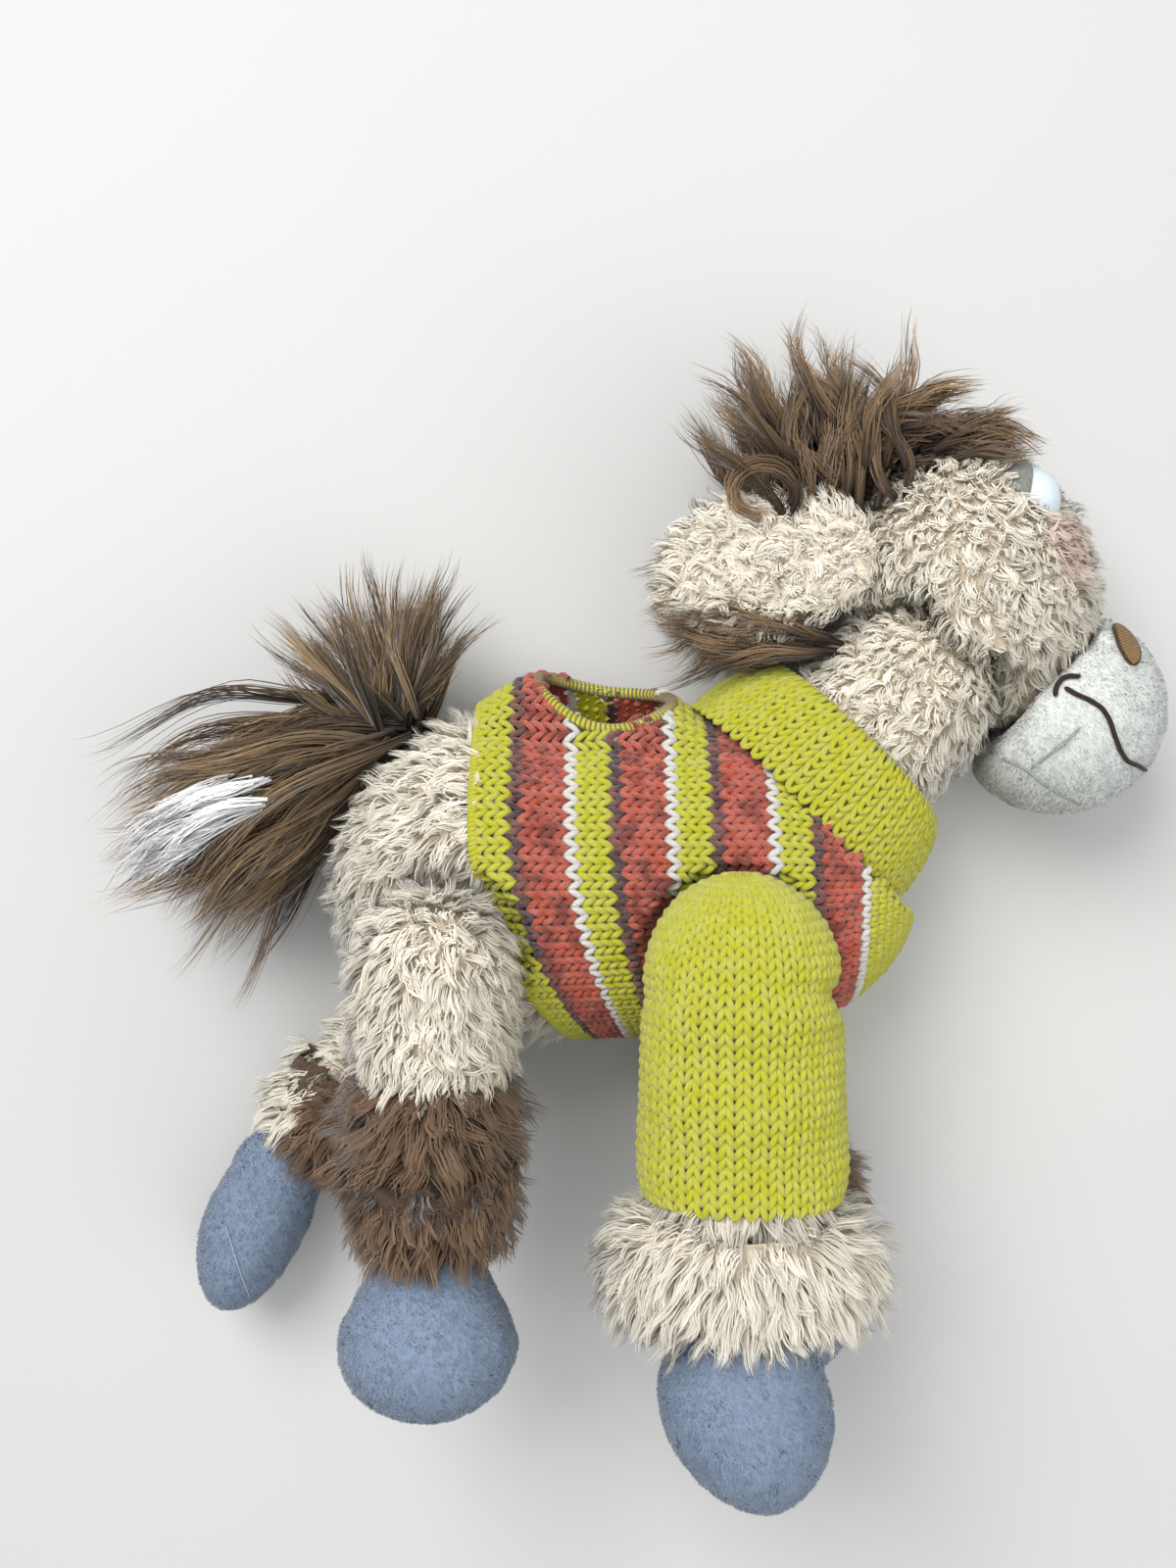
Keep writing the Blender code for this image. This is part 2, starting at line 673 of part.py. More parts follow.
def neck_profile(shrink):
    """The neck's outline from its foot to its top, as (distance up, radius)."""
    dome = range(7)
    points = [(GAP + shrink, NECK_BASE_RADIUS - shrink), (NECK_LENGTH / 2, NECK_RADIUS - shrink)]
    for k in dome:
        a = math.pi / 2 * k / dome[-1]
        radius = NECK_RADIUS - shrink
        points.append((NECK_LENGTH + radius * math.sin(a), radius * math.cos(a)))
    return points


def neck_solid(shrink):
    rings = []
    out = Vector((-math.sin(NECK_TILT), math.cos(NECK_TILT), 0))
    for along, radius in neck_profile(shrink):
        radius = max(radius, 0)
        rings.append((neck_frame(along), out * radius, Vector((0, 0, radius))))
    return loft(rings, HEAD_SIDES)


def build_neck():
    shell = neck_solid(0)
    foot = [f for f in shell.faces if len(f.verts) > 4]
    bmesh.ops.delete(shell, geom=foot, context="FACES_ONLY")
    thicken(piece(shell, "neck_skin", CREAM), PLUSH)
    piece(neck_solid(PLUSH + GAP), "neck_stuffing", FILLING)


def head_form(outward=0):
    centre = neck_frame(HEAD_ALONG, HEAD_BACK)
    rise = Vector((0, HEAD_LENGTH / 2, 0))
    bm = form(
        centre - rise, centre + rise, HEAD_DEPTH / 2, HEAD_WIDTH / 2,
        HEAD_WIDE_SHARES, FULL_SHARES, HEAD_SIDES, HEAD_RINGS,
    )
    return grown(bm, outward)


def head_point(forward, up, side=0):
    centre = neck_frame(HEAD_ALONG, HEAD_BACK)
    return centre + Vector((forward, up, side))


def build_head():
    """Head, muzzle and what is sewn to them; returns the cutters that the hair needs."""
    neck_room = cutter(socket(NECK_RADIUS + PLAY), "neck_socket")
    neck_room.location = neck_frame(NECK_LENGTH)
    tilt = NECK_TILT - math.pi / 2
    outline = fan(NECK_RADIUS + PLAY, TORSO_DEPTH, -NOD_ROOM, NOD_ROOM)
    throat = cutter(prism(outline, -NECK_RADIUS - PLAY, NECK_RADIUS + PLAY), "throat")
    throat.location = neck_frame(NECK_LENGTH)
    throat.rotation_euler = (0, 0, tilt)
    clear = behind_neck("collar_room", HEAD_SET)
    skin = piece(head_form(), "head_skin", CREAM)
    cut(thicken(skin, PLUSH), neck_room, throat, clear, FLOOR)
    filling = piece(head_form(-PLUSH - GAP), "head_stuffing", FILLING)
    cut(filling, neck_room, throat, clear)

    shape = cutter(head_form(GAP), "head_shape")
    muzzle_at = head_point(MUZZLE_FORWARD, -MUZZLE_DROP)
    muzzle = piece(ball(MUZZLE_RADIUS, centre=muzzle_at, sides=HEAD_SIDES), "muzzle_skin", MUZZLE_GREY)
    cut(thicken(muzzle, NAPPED), shape, neck_room, throat)
    inside = ball(MUZZLE_RADIUS - NAPPED - GAP, centre=muzzle_at, sides=HEAD_SIDES)
    cut(piece(inside, "muzzle_stuffing", FILLING), shape, neck_room, throat)
    muzzle_shape = cutter(ball(MUZZLE_RADIUS + GAP, centre=muzzle_at, sides=HEAD_SIDES), "muzzle_shape")

    for name, side in (("right", 1), ("left", -1)):
        build_eye(name, side, shape)
        build_nostril(name, side, muzzle_at, muzzle_shape)
    build_mouth(muzzle_at)
    return shape


def build_eye(name, side, shape):
    at = head_point(EYE_FORWARD, EYE_RISE, EYE_SIDE * side)
    cut(piece(ball(EYE_RADIUS, centre=at), name + "_eye", EYE_WHITE), shape)
    lid = ball(EYE_RADIUS + GAP + LID_THICK, centre=at)
    forward, up, aside = LID_SHARES
    back = Vector((forward, up, aside * side)).normalized()
    opened(lid, at + back * EYE_RADIUS * LID_CUT_SHARE, -back)
    cut(thicken(piece(lid, name + "_eyelid", TAUPE), LID_THICK), shape)


def build_nostril(name, side, muzzle_at, muzzle_shape):
    forward, up, aside = NOSTRIL_SHARES
    way = Vector((forward, up, aside * side)).normalized()
    bm = bmesh.new()
    bmesh.ops.create_uvsphere(bm, u_segments=12, v_segments=8, radius=1)
    size = (NOSTRIL_WIDTH / 2, NOSTRIL_LENGTH / 2, NOSTRIL_THICK * 2)
    bmesh.ops.scale(bm, vec=size, verts=bm.verts)
    patch = piece(bm, name + "_nostril", NOSTRIL_BROWN)
    patch.location = muzzle_at + way * (MUZZLE_RADIUS - NOSTRIL_THICK / 2)
    patch.rotation_euler = way.to_track_quat("Z", "Y").to_euler()
    cut(patch, muzzle_shape)


def build_mouth(muzzle_at):
    """One thread from cheek to cheek round the front of the muzzle."""
    right = list(MOUTH_SHARES)
    left = [(x, y, -z) for x, y, z in reversed(right)]
    curve = bpy.data.curves.new("mouth_line", "CURVE")
    curve.dimensions = "3D"
    curve.bevel_depth = THREAD_RADIUS
    curve.bevel_resolution = 1
    curve.use_fill_caps = True
    spline = curve.splines.new("POLY")
    route = []
    reach = MUZZLE_RADIUS + GAP + THREAD_RADIUS
    for a, b in zip(right + left, (right + left)[1:]):
        for k in range(2):
            way = Vector(a).lerp(Vector(b), k / 2).normalized()
            route.append(muzzle_at + way * reach)
    spline.points.add(len(route) - 1)
    for point, at in zip(spline.points, route):
        point.co = (*at, 1)
    guide = bpy.data.objects.new("mouth_line", curve)
    PARTS.objects.link(guide)
    seen = guide.evaluated_get(bpy.context.evaluated_depsgraph_get())
    mesh = bpy.data.meshes.new_from_object(seen)
    bm = bmesh.new()
    bm.from_mesh(mesh)
    bmesh.ops.remove_doubles(bm, verts=bm.verts, dist=THREAD_RADIUS / 100)
    bpy.data.objects.remove(guide, do_unlink=True)
    piece(bm, "mouth_thread", THREAD_BROWN)


def build_ear(name, side, shape):
    """A floppy ear lying back from its hinge, with a thin lining under it."""
    droop = EAR_DROOP if side > 0 else EAR_DROOP * 2
    root = head_point(-EAR_BACK, EAR_RISE, EAR_SIDE * side)
    tip = root + Vector((-EAR_LENGTH, -EAR_DROOP, -droop))
    ear = form(
        root, tip, EAR_WIDTH / 2, EAR_THICK / 2, EAR_WIDE_SHARES, FULL_SHARES, LEG_SIDES, LEG_RINGS - 4
    )
    line = (tip - root) * LINING_SHARE
    inward = Vector((0, 0, -side * EAR_THICK / 2))
    start = root + (tip - root) * (1 - LINING_SHARE) / 2 + inward
    sizes = (EAR_WIDTH / 2 * LINING_SHARE, LINING_THICK / 2)
    lining = form(start, start + line, *sizes, EAR_WIDE_SHARES, FULL_SHARES, LEG_SIDES, LEG_RINGS - 6)
    recess = cutter(grown(lining.copy(), GAP), name + "_ear_recess")
    floor = [FLOOR] if side < 0 else []
    cut(piece(ear, name + "_ear", CREAM), shape, recess, *floor)
    cut(piece(lining, name + "_ear_lining", TAUPE), shape, *floor)
    return root


def hair(name, start, angle, length, wide, thick, shares, look, cuts):
    end = start + Vector((math.cos(angle), math.sin(angle), 0)) * length
    bm = form(start, end, wide, thick, shares, FULL_SHARES, LEG_SIDES, LEG_RINGS - 2)
    cut(piece(bm, name, look), *cuts)
    again = form(start, end, wide, thick, shares, FULL_SHARES, LEG_SIDES, LEG_RINGS - 2)
    return cutter(grown(again, GAP), name + "_shape")


def on_head(shares):
    forward, up = shares
    return head_point(HEAD_DEPTH / 2 * forward, HEAD_LENGTH / 2 * up)


def build_mane(shape):
    lock = hair(
        "forelock", on_head(FORELOCK_AT_SHARES), FORELOCK_TILT,
        FORELOCK_LENGTH, FORELOCK_WIDE, MANE_THICK, HAIR_SHARES, BROWN, [shape],
    )
    crest = hair(
        "mane_crest", on_head(CREST_AT_SHARES), CREST_TILT,
        CREST_LENGTH, CREST_WIDE, MANE_THICK, HAIR_SHARES, BROWN, [shape, lock],
    )
    hair(
        "mane_nape", on_head(NAPE_AT_SHARES), NAPE_TILT,
        NAPE_LENGTH, NAPE_WIDE, MANE_THICK, HAIR_SHARES, BROWN, [shape, crest],
    )


def rump_room(centre, turn):
    """The torso as the tail meets it when the tail swings by an angle."""
    bm = grown(torso_form(), PLAY)
    spin = Matrix.Translation(centre) @ Matrix.Rotation(-turn, 4, "Z") @ Matrix.Translation(-centre)
    bmesh.ops.transform(bm, matrix=spin, verts=bm.verts)
    return cutter(bm, "rump_room")


def tail_middle():
    """The middle of the tail's root."""
    at = torso_back(TAIL_AT_SHARE)
    along = torso_back(TAIL_AT_SHARE + TAIL_STEP_SHARE) - torso_back(TAIL_AT_SHARE - TAIL_STEP_SHARE)
    out = Vector((-along.y, along.x, 0)).normalized()
    return at + out * TAIL_BALL * TAIL_OUT_SHARE


def build_tail(centre):
    """The tail's root is a ball that sits in a dent of the rump; its hair hangs from it."""
    root = cutter(ball(TAIL_BALL + GAP, centre=centre), "tail_root_shape")
    piece(ball(TAIL_BALL, centre=centre), "tail_root", BROWN)
    rooms = [rump_room(centre, turn) for turn in (TAIL_LOW, 0, TAIL_HIGH)]
    away = Vector((math.cos(TAIL_TILT), math.sin(TAIL_TILT), 0))
    lock = hair(
        "tail_lock", centre + away * TAIL_BALL / 2, TAIL_TILT, TAIL_LENGTH,
        TAIL_WIDE, TAIL_THICK, TAIL_SHARES, BROWN, [root, *rooms],
    )
    rise = Vector((math.cos(TUFT_TILT), math.sin(TUFT_TILT), 0))
    hair(
        "tail_tuft", centre + rise * TAIL_BALL / 2, TUFT_TILT, TUFT_LENGTH,
        TUFT_WIDE, TUFT_THICK, HAIR_SHARES, BROWN, [root, lock, *rooms],
    )
    white = Vector((math.cos(TIP_TILT), math.sin(TIP_TILT), 0))
    hair(
        "tail_white_tip", centre + white * TIP_OUT, TIP_TILT, TIP_LENGTH,
        TIP_WIDE, TUFT_THICK, FULL_SHARES, WHITE_HAIR, [lock],
    )


clear_scene()
PARTS = new_collection("plush_horse")
CUTTERS = new_collection("cutters")
FLOOR = floor_cutter()

hip_pockets = []
for leg_name, leg_spec in LEGS.items():
    build_leg(leg_name, leg_spec, hip_pockets)
tail_centre = tail_middle()
build_torso(hip_pockets, tail_centre)
build_sweater(hip_pockets)
build_neck()
head_shape = build_head()
ear_roots = {name: build_ear(name, side, head_shape) for name, side in (("right", 1), ("left", -1))}
build_mane(head_shape)
build_tail(tail_centre)

neck_axis = hang("neck_axis", neck_frame(0), named("neck_skin", "neck_stuffing"))
head_pieces = named(
    "head_skin", "head_stuffing", "muzzle_skin", "muzzle_stuffing", "mouth_thread",
    "right_eye", "left_eye", "right_eyelid", "left_eyelid", "right_nostril", "left_nostril",
    "forelock", "mane_crest", "mane_nape",
)
head_axis = hang("head_axis", neck_frame(NECK_LENGTH), head_pieces, neck_axis)
for ear_name, ear_root in ear_roots.items():
    hang(ear_name + "_ear_axis", ear_root, named(ear_name + "_ear", ear_name + "_ear_lining"), head_axis)
hang("tail_axis", tail_centre, named("tail_root", "tail_lock", "tail_tuft", "tail_white_tip"))
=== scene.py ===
"""A plush horse in a knitted sweater, lying on its left side on a pale floor.

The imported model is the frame; every piece made here rides on one of its bodies. Lengths are in
metres, +X points to the horse's head, +Y to its back and +Z up, to its right side.
"""

import math

import bpy
import numpy as np
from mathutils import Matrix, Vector
from mathutils.bvhtree import BVHTree
from mathutils.kdtree import KDTree


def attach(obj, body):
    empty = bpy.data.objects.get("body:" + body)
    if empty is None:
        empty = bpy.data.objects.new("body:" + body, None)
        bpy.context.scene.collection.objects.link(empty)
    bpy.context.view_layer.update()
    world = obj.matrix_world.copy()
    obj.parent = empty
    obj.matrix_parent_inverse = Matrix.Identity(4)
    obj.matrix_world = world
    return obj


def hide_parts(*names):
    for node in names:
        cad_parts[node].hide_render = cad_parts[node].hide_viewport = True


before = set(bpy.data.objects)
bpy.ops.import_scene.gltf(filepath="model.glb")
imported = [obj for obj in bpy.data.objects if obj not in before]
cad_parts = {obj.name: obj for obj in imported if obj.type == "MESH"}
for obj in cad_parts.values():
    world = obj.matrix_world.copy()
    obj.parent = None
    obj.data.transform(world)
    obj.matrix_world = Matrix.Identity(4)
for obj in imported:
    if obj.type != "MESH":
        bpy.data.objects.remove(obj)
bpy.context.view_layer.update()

bl_info = {
    "name": "Plush Horse",
    "version": (1, 0, 0),
    "blender": (4, 5, 0),
    "location": "View3D > Sidebar > Plush Horse",
    "description": "Dresses the packed plush horse with fur, hair and knitting",
    "category": "Object",
}


def length(name, description, default):
    return bpy.props.FloatProperty(
        name=name, description=description, default=default, precision=5, subtype="DISTANCE", unit="LENGTH"
    )


def colour(name, description, default):
    return bpy.props.FloatVectorProperty(
        name=name, description=description, default=default, size=3, min=0, max=1, subtype="COLOR"
    )


def whole(name, description, default):
    return bpy.props.IntProperty(name=name, description=description, default=default, min=1)


def place(name, description, default):
    return bpy.props.FloatVectorProperty(
        name=name, description=description, default=default, size=3, precision=5, subtype="TRANSLATION",
        unit="LENGTH"
    )


class HorseBody(bpy.types.PropertyGroup):
    """Sizes of the stuffed forms that the cloth follows"""

    torso_length: length("Torso length", "From rump to chest", 0.177)
    torso_depth: length("Torso depth", "From belly to back", 0.097)
    torso_width: length("Torso width", "From side to side", 0.083)
    flat: length("Flat", "How deep a form is flattened where it rests", 0.0005)
    leg_thick: length("Leg thickness", "Half the thickness of a leg", 0.026)
    seat_rise: length("Seat", "From the middle plane to a leg's inner face", 0.022)
    play: length("Play", "Left round a piece that swings", 0.0006)
    voxel: length("Remesh size", "Size of the mesh that the stuffing swells", 0.004)
    swell: length("Swell", "The furthest that a point moves when a form is stuffed", 0.0025)
    neck_foot: place("Foot of the neck", "Where the neck leaves the torso", (0.052038, 0.023959, 0.041))
    head_centre: place("Head", "Middle of the head", (0.104011, 0.087952, 0.041))
    tail_centre: place("Tail root", "Middle of the tail's root", (-0.07136, 0.04541, 0.041))


class HorseFur(bpy.types.PropertyGroup):
    """Pile and colours of the plush"""

    head_pile: length("Head pile", "Length of the pile on the head and neck", 0.0070)
    pile: length("Pile", "Length of the shaggy pile", 0.0100)
    strand: length("Strand", "Width of a strand of pile", 0.00047)
    spacing: length("Spacing", "Between strands of shaggy pile", 0.00082)
    cuff_pile: length("Cuff pile", "Length of the front cuffs' pile", 0.0135)
    rear_cuff_pile: length("Rear cuff pile", "Length of the rear cuffs' pile", 0.0115)
    nap: length("Nap", "Length of the short nap", 0.0011)
    nap_spacing: length("Nap spacing", "Between strands of the short nap", 0.00052)
    # Each root colour is darker than its tip: painted shade deep in the pile.
    cream_root: colour("Cream root", "Shaggy pile at its root", (0.66, 0.57, 0.43))
    cream_tip: colour("Cream tip", "Shaggy pile at its tip", (0.92, 0.87, 0.745))
    brown_root: colour("Brown root", "Cuff pile at its root", (0.045, 0.027, 0.017))
    brown_tip: colour("Brown tip", "Cuff pile at its tip", (0.26, 0.162, 0.098))
    blue_root: colour("Blue root", "Hoof nap at its root", (0.19, 0.24, 0.325))
    blue_tip: colour("Blue tip", "Hoof nap at its tip", (0.25, 0.315, 0.425))
    grey_root: colour("Grey root", "Muzzle nap at its root", (0.62, 0.64, 0.61))
    grey_tip: colour("Grey tip", "Muzzle nap at its tip", (0.80, 0.82, 0.78))
    blush: colour("Blush", "Blush on the cheek", (0.82, 0.49, 0.43))


class HorseHair(bpy.types.PropertyGroup):
    """Mane and tail"""

    strand: length("Strand", "Width of a hair", 0.00045)
    # Root colours are darker than the tips: painted shade deep in the locks, and for the brown hair partly
    # its own dark brown as well.
    root: colour("Root", "Hair at its root", (0.013, 0.008, 0.005))
    tip: colour("Tip", "Hair at its tip", (0.27, 0.172, 0.092))
    tail_tip: colour("Tail tip", "Tail hair at its tip", (0.35, 0.232, 0.124))
    white_root: colour("White root", "White tip lock at its root", (0.68, 0.68, 0.67))
    white_tip: colour("White tip", "White tip lock at its tip", (0.95, 0.95, 0.94))


class HorseKnit(bpy.types.PropertyGroup):
    """Yarn and stitches"""

    pitch: length("Row pitch", "From one row of stitches to the next", 0.00325)
    yarn: length("Yarn radius", "Radius of the yarn", 0.00100)
    columns: whole("Columns", "Stitches round the sweater", 62)
    sleeve_columns: whole("Sleeve columns", "Stitches round a sleeve", 38)
    ribs: whole("Ribs", "Ribs round the collar", 56)
    lime: colour("Lime", "Lime yarn", (0.59, 0.58, 0.018))
    coral: colour("Coral", "Coral yarn", (0.57, 0.108, 0.058))
    brown: colour("Brown", "Dark brown yarn", (0.085, 0.038, 0.036))
    white: colour("White", "White yarn", (0.78, 0.76, 0.70))


class HorseStage(bpy.types.PropertyGroup):
    """Floor, light and camera"""

    floor: colour("Floor", "The plain pale floor", (0.60, 0.595, 0.58))
    camera_at: place("Camera", "Where the camera stands", (-0.012, 0.030, 0.500))
    lens: bpy.props.FloatProperty(name="Lens", description="Focal length", default=33.75, unit="CAMERA")
    sensor: bpy.props.FloatProperty(
        name="Sensor", description="Long side of the sensor", default=36.0, unit="CAMERA"
    )


GROUPS = (HorseBody, HorseFur, HorseHair, HorseKnit, HorseStage)

TORSO_DEPTH_SHARES = (1.05, 1.07, 1.03, 0.95, 0.92, 0.91, 0.92, 0.90, 0.85)
TORSO_WIDTH_SHARES = (1.00, 1.03, 1.03, 0.97, 0.92, 0.92, 0.93, 0.90, 0.85)
LEG_SHARES = (1.00, 1.00, 1.00, 0.97, 0.92, 0.88, 0.86, 0.86, 0.86)
ARM_SHARES = (0.98, 1.00, 1.00, 0.98, 0.97, 0.98, 1.00, 0.95, 0.85)
LEFT_HIGH_SHARES = (0.34, 0.34, 0.34, 0.34, 0.34, 0.55, 0.90, 1.00, 1.00)
HIP_SHARE = 0.34

LEGS = {
    "right_rear": {"side": 1, "hip": (-0.055, -0.021), "rest": -1, "wide": 0.0250, "foot": 0.0714,
                   "cuff": 0.0390, "sleeve": None, "swing": (-50, 8)},
    "right_front": {"side": 1, "hip": (0.031, -0.025), "rest": 0, "wide": 0.0290, "foot": 0.0824,
                    "cuff": 0.0600, "sleeve": 0.0595, "swing": (-8, 50)},
    "left_rear": {"side": -1, "hip": (-0.053, -0.030), "rest": -42, "wide": 0.0220, "foot": 0.0699,
                  "cuff": 0.0430, "sleeve": None, "swing": (-8, 48)},
    "left_front": {"side": -1, "hip": (0.040, -0.027), "rest": 5, "wide": 0.0270, "foot": 0.0754,
                   "cuff": 0.0560, "sleeve": 0.0555, "swing": (-12, 40)},
}

UP = np.array((0.0, 0.0, 1.0))
NECK_AXIS = np.array((0.70711, 0.70711, 0))  # from the torso to the head
NECK_OUT = np.array((-0.70711, 0.70711, 0))  # from the throat to the nape
DARK, LIGHT = (0, 0, 0), (1, 1, 1)  # what colours are mixed with to darken and lighten them
HAIR_OFF, YARN_OFF, SHEET_OFF, SLEEVE_OFF = 0.0003, 0.0002, 0.0004, 0.0011  # least heights over the floor


def body_sizes():
    return bpy.context.scene.horse_body


def middle():
    """Height of the torso's middle plane."""
    b = body_sizes()
    return b.torso_width / 2 - b.flat


def unit(v):
    return v / np.maximum(np.linalg.norm(v, axis=-1, keepdims=True), 1e-12)


def smooth(shares, t):
    """Read a table of evenly spaced shares at t from 0 to 1, as a smooth curve."""
    table = np.asarray(shares, float)
    at = np.clip(t, 0, 1) * (len(table) - 1)
    k = np.minimum(at.astype(int), len(table) - 2)
    f = at - k
    a, b = table[k], table[k + 1]
    before, after = table[np.maximum(k - 1, 0)], table[np.minimum(k + 2, len(table) - 1)]
    slope_a, slope_b = (b - before) / 2, (after - a) / 2
    return (a * (2 * f**3 - 3 * f**2 + 1) + slope_a * (f**3 - 2 * f**2 + f)
            + b * (3 * f**2 - 2 * f**3) + slope_b * (f**3 - f**2))


def roundness(t, blunt):
    return np.sqrt(np.clip(1 - np.abs(2 * np.clip(t, 0, 1) - 1) ** blunt, 0, 1))


# Meshes


def mesh_of(name, points, faces, uvs=None, normals=None):
    """A mesh of points and faces, which are arrays of corners with one number of corners each."""
    mesh = bpy.data.meshes.new(name)
    mesh.vertices.add(len(points))
    mesh.vertices.foreach_set("co", np.asarray(points, np.float32).ravel())
    corners = np.concatenate([f.ravel() for f in faces]).astype(np.int32)
    sizes = np.concatenate([np.full(len(f), f.shape[1]) for f in faces])
    starts = np.concatenate([[0], np.cumsum(sizes)[:-1]]).astype(np.int32)
    mesh.loops.add(len(corners))
    mesh.loops.foreach_set("vertex_index", corners)
    mesh.polygons.add(len(starts))
    mesh.polygons.foreach_set("loop_start", starts)
    mesh.update(calc_edges=True)
    if uvs is not None:
        layer = mesh.uv_layers.new(name="along")
        layer.data.foreach_set("uv", np.asarray(uvs, np.float32)[corners].ravel())
    mesh.shade_smooth()
    if normals is not None:
        mesh.normals_split_custom_set_from_vertices(np.asarray(normals, np.float32))
    return mesh


def show(name, mesh, material, body, replaces=()):
    """Make a piece of a mesh and let it ride on its body."""
    thing = bpy.data.objects.new(name, mesh)
    bpy.context.scene.collection.objects.link(thing)
    if material:
        mesh.materials.clear()
        mesh.materials.append(material)
    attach(thing, body)
    if replaces:
        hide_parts(*replaces)
    return thing


PER_PIECE = 190000  # triangles in one piece of hair, at most


def strands(name, paths, widths, facing, tones, normals=None):
    """Meshes of flat tapered strands that follow paths of shape (strands, levels, 3)."""
    count, levels = paths.shape[:2]
    per = max(1, PER_PIECE // (2 * (levels - 2) + 1))
    meshes = []
    for first in range(0, count, per):
        p, w = paths[first:first + per], widths[first:first + per]
        n = len(p)
        t = np.linspace(0, 1, levels)
        along = np.gradient(p, axis=1)
        side = unit(np.cross(along, facing[first:first + per, None, :]))
        half = (w[:, None] / 2 * (1 - t[None, :] ** 1.7 * 0.85))[:, :-1, None]
        left, right = p[:, :-1] - side[:, :-1] * half, p[:, :-1] + side[:, :-1] * half
        ribbon = np.stack([left, right], axis=2).reshape(n, -1, 3)
        points = np.concatenate([ribbon, p[:, -1:]], axis=1)
        each = points.shape[1]
        base = (np.arange(n) * each)[:, None, None]
        k = np.arange(levels - 2)[:, None] * 2
        quads = (base + (k + np.array([0, 1, 3, 2]))[None]).reshape(-1, 4)
        last = 2 * (levels - 2)
        tips = (base + np.array([[last, last + 1, last + 2]])[None]).reshape(-1, 3)
        v = np.concatenate([np.repeat(t[:-1], 2), [1]])
        uvs = np.stack([np.repeat(tones[first:first + per], each), np.tile(v, n)], axis=1)
        bent = None
        if normals is not None:
            bent = np.repeat(normals[first:first + per], each, axis=0)
        flat = points.reshape(-1, 3)
        flat[:, 2] = np.maximum(flat[:, 2], HAIR_OFF)
        faces = [quads, tips] if levels > 2 else [tips]
        meshes.append(mesh_of(f"{name}_{len(meshes)}", flat, faces, uvs, bent))
    return meshes


def read(rows, field, kind=np.float32):
    """A field of three numbers for each vertex or triangle, as an array."""
    values = np.zeros(len(rows) * 3, kind)
    rows.foreach_get(field, values)
    return values.reshape(-1, 3)


def sampled(thing, spacing, rng, keep=None):
    """Points spread evenly over a mesh, with their normals."""
    seen = thing.evaluated_get(bpy.context.evaluated_depsgraph_get())
    mesh = seen.to_mesh()
    mesh.calc_loop_triangles()
    points, normals = read(mesh.vertices, "co"), read(mesh.vertices, "normal")
    corners = read(mesh.loop_triangles, "vertices", np.int32)
    seen.to_mesh_clear()
    a, b, c = (points[corners[:, i]] for i in range(3))
    areas = np.linalg.norm(np.cross(b - a, c - a), axis=1) / 2
    count = int(areas.sum() / spacing**2)
    picked = rng.choice(len(areas), count, p=areas / areas.sum())
    r1, r2 = np.sqrt(rng.random(count)), rng.random(count)
    weights = np.stack([1 - r1, r1 * (1 - r2), r1 * r2], axis=1)[:, :, None]
    at = (points[corners[picked]] * weights).sum(1)
    out = unit((normals[corners[picked]] * weights).sum(1))
    if keep is not None:
        chosen = keep(at, out)
        at, out = at[chosen], out[chosen]
    return at.astype(float), out.astype(float)


def nearest(points, centres):
    tree = KDTree(len(centres))
    for i, c in enumerate(centres):
        tree.insert(c, i)
    tree.balance()
    return np.array([tree.find(p)[1] for p in points])


def pile_paths(at, out, comb, rng, pile, lean, clump, curl, levels, gather=0.62, wild=0.30):
    """Paths of strands of pile that stand on points, lean along a comb and gather in clumps."""
    centres = rng.choice(len(at), max(1, int(len(at) * clump)), replace=False)
    owner = nearest(at, at[centres])
    along = unit(comb - out * (comb * out).sum(1, keepdims=True))
    swing = rng.normal(size=(len(centres), 3))[owner] * wild + rng.normal(size=at.shape) * wild * 0.5
    rise = unit(out + along * lean * 0.5 + swing * 0.5)
    fall = unit(out * (1 - lean) + along * lean + swing * 1.1)
    size = pile * (0.75 + 0.45 * rng.random(len(centres)))[owner] * (0.8 + 0.3 * rng.random(len(at)))
    t = np.linspace(0, 1, levels)[None, :, None]
    reach = size[:, None, None]
    paths = at[:, None] + reach * (rise[:, None] * (t - t * t / 2) + fall[:, None] * t * t / 2)
    guide = paths[centres][owner]
    close = gather * t**1.2
    paths = paths * (1 - close) + (guide + (at - at[centres][owner])[:, None] * 0.2) * close
    e1 = unit(np.cross(out, rng.normal(size=3)))
    e2 = np.cross(out, e1)
    turn = (rng.random(len(centres)) * 2 * math.pi)[owner][:, None, None] + t * 5.5
    paths = paths + curl * t * (np.cos(turn) * e1[:, None] + np.sin(turn) * e2[:, None])
    clump_tones = 0.22 * rng.normal(size=len(centres))[owner]
    tones = np.clip(0.5 + clump_tones + 0.12 * rng.normal(size=len(at)), 0, 1)
    return paths, tones


def coat(name, base, body, material, seed, comb, pile, spacing, lean=0.60, clump=0.080, curl=0.0011,
         levels=5, keep=None, wild=0.26):
    """Shaggy pile over a base."""
    rng = np.random.default_rng(seed)
    at, out = sampled(base, spacing, rng, keep)
    combs = comb(at) if callable(comb) else np.tile(np.array(comb, float), (len(at), 1))
    paths, tones = pile_paths(at, out, combs, rng, pile, lean, clump, curl, levels, wild=wild)
    facing = unit(out + UP * 0.6 + rng.normal(size=at.shape) * 0.40)
    widths = bpy.context.scene.horse_fur.strand * (0.7 + 0.6 * rng.random(len(at)))
    bent = unit(out * 0.9 + (paths[:, -1] - paths[:, 0]) / pile * 0.4 + rng.normal(size=at.shape) * 0.13)
    for mesh in strands(name, paths, widths, facing, tones, bent):
        show(mesh.name, mesh, material, body)


NAP_WIDTH = 0.00026


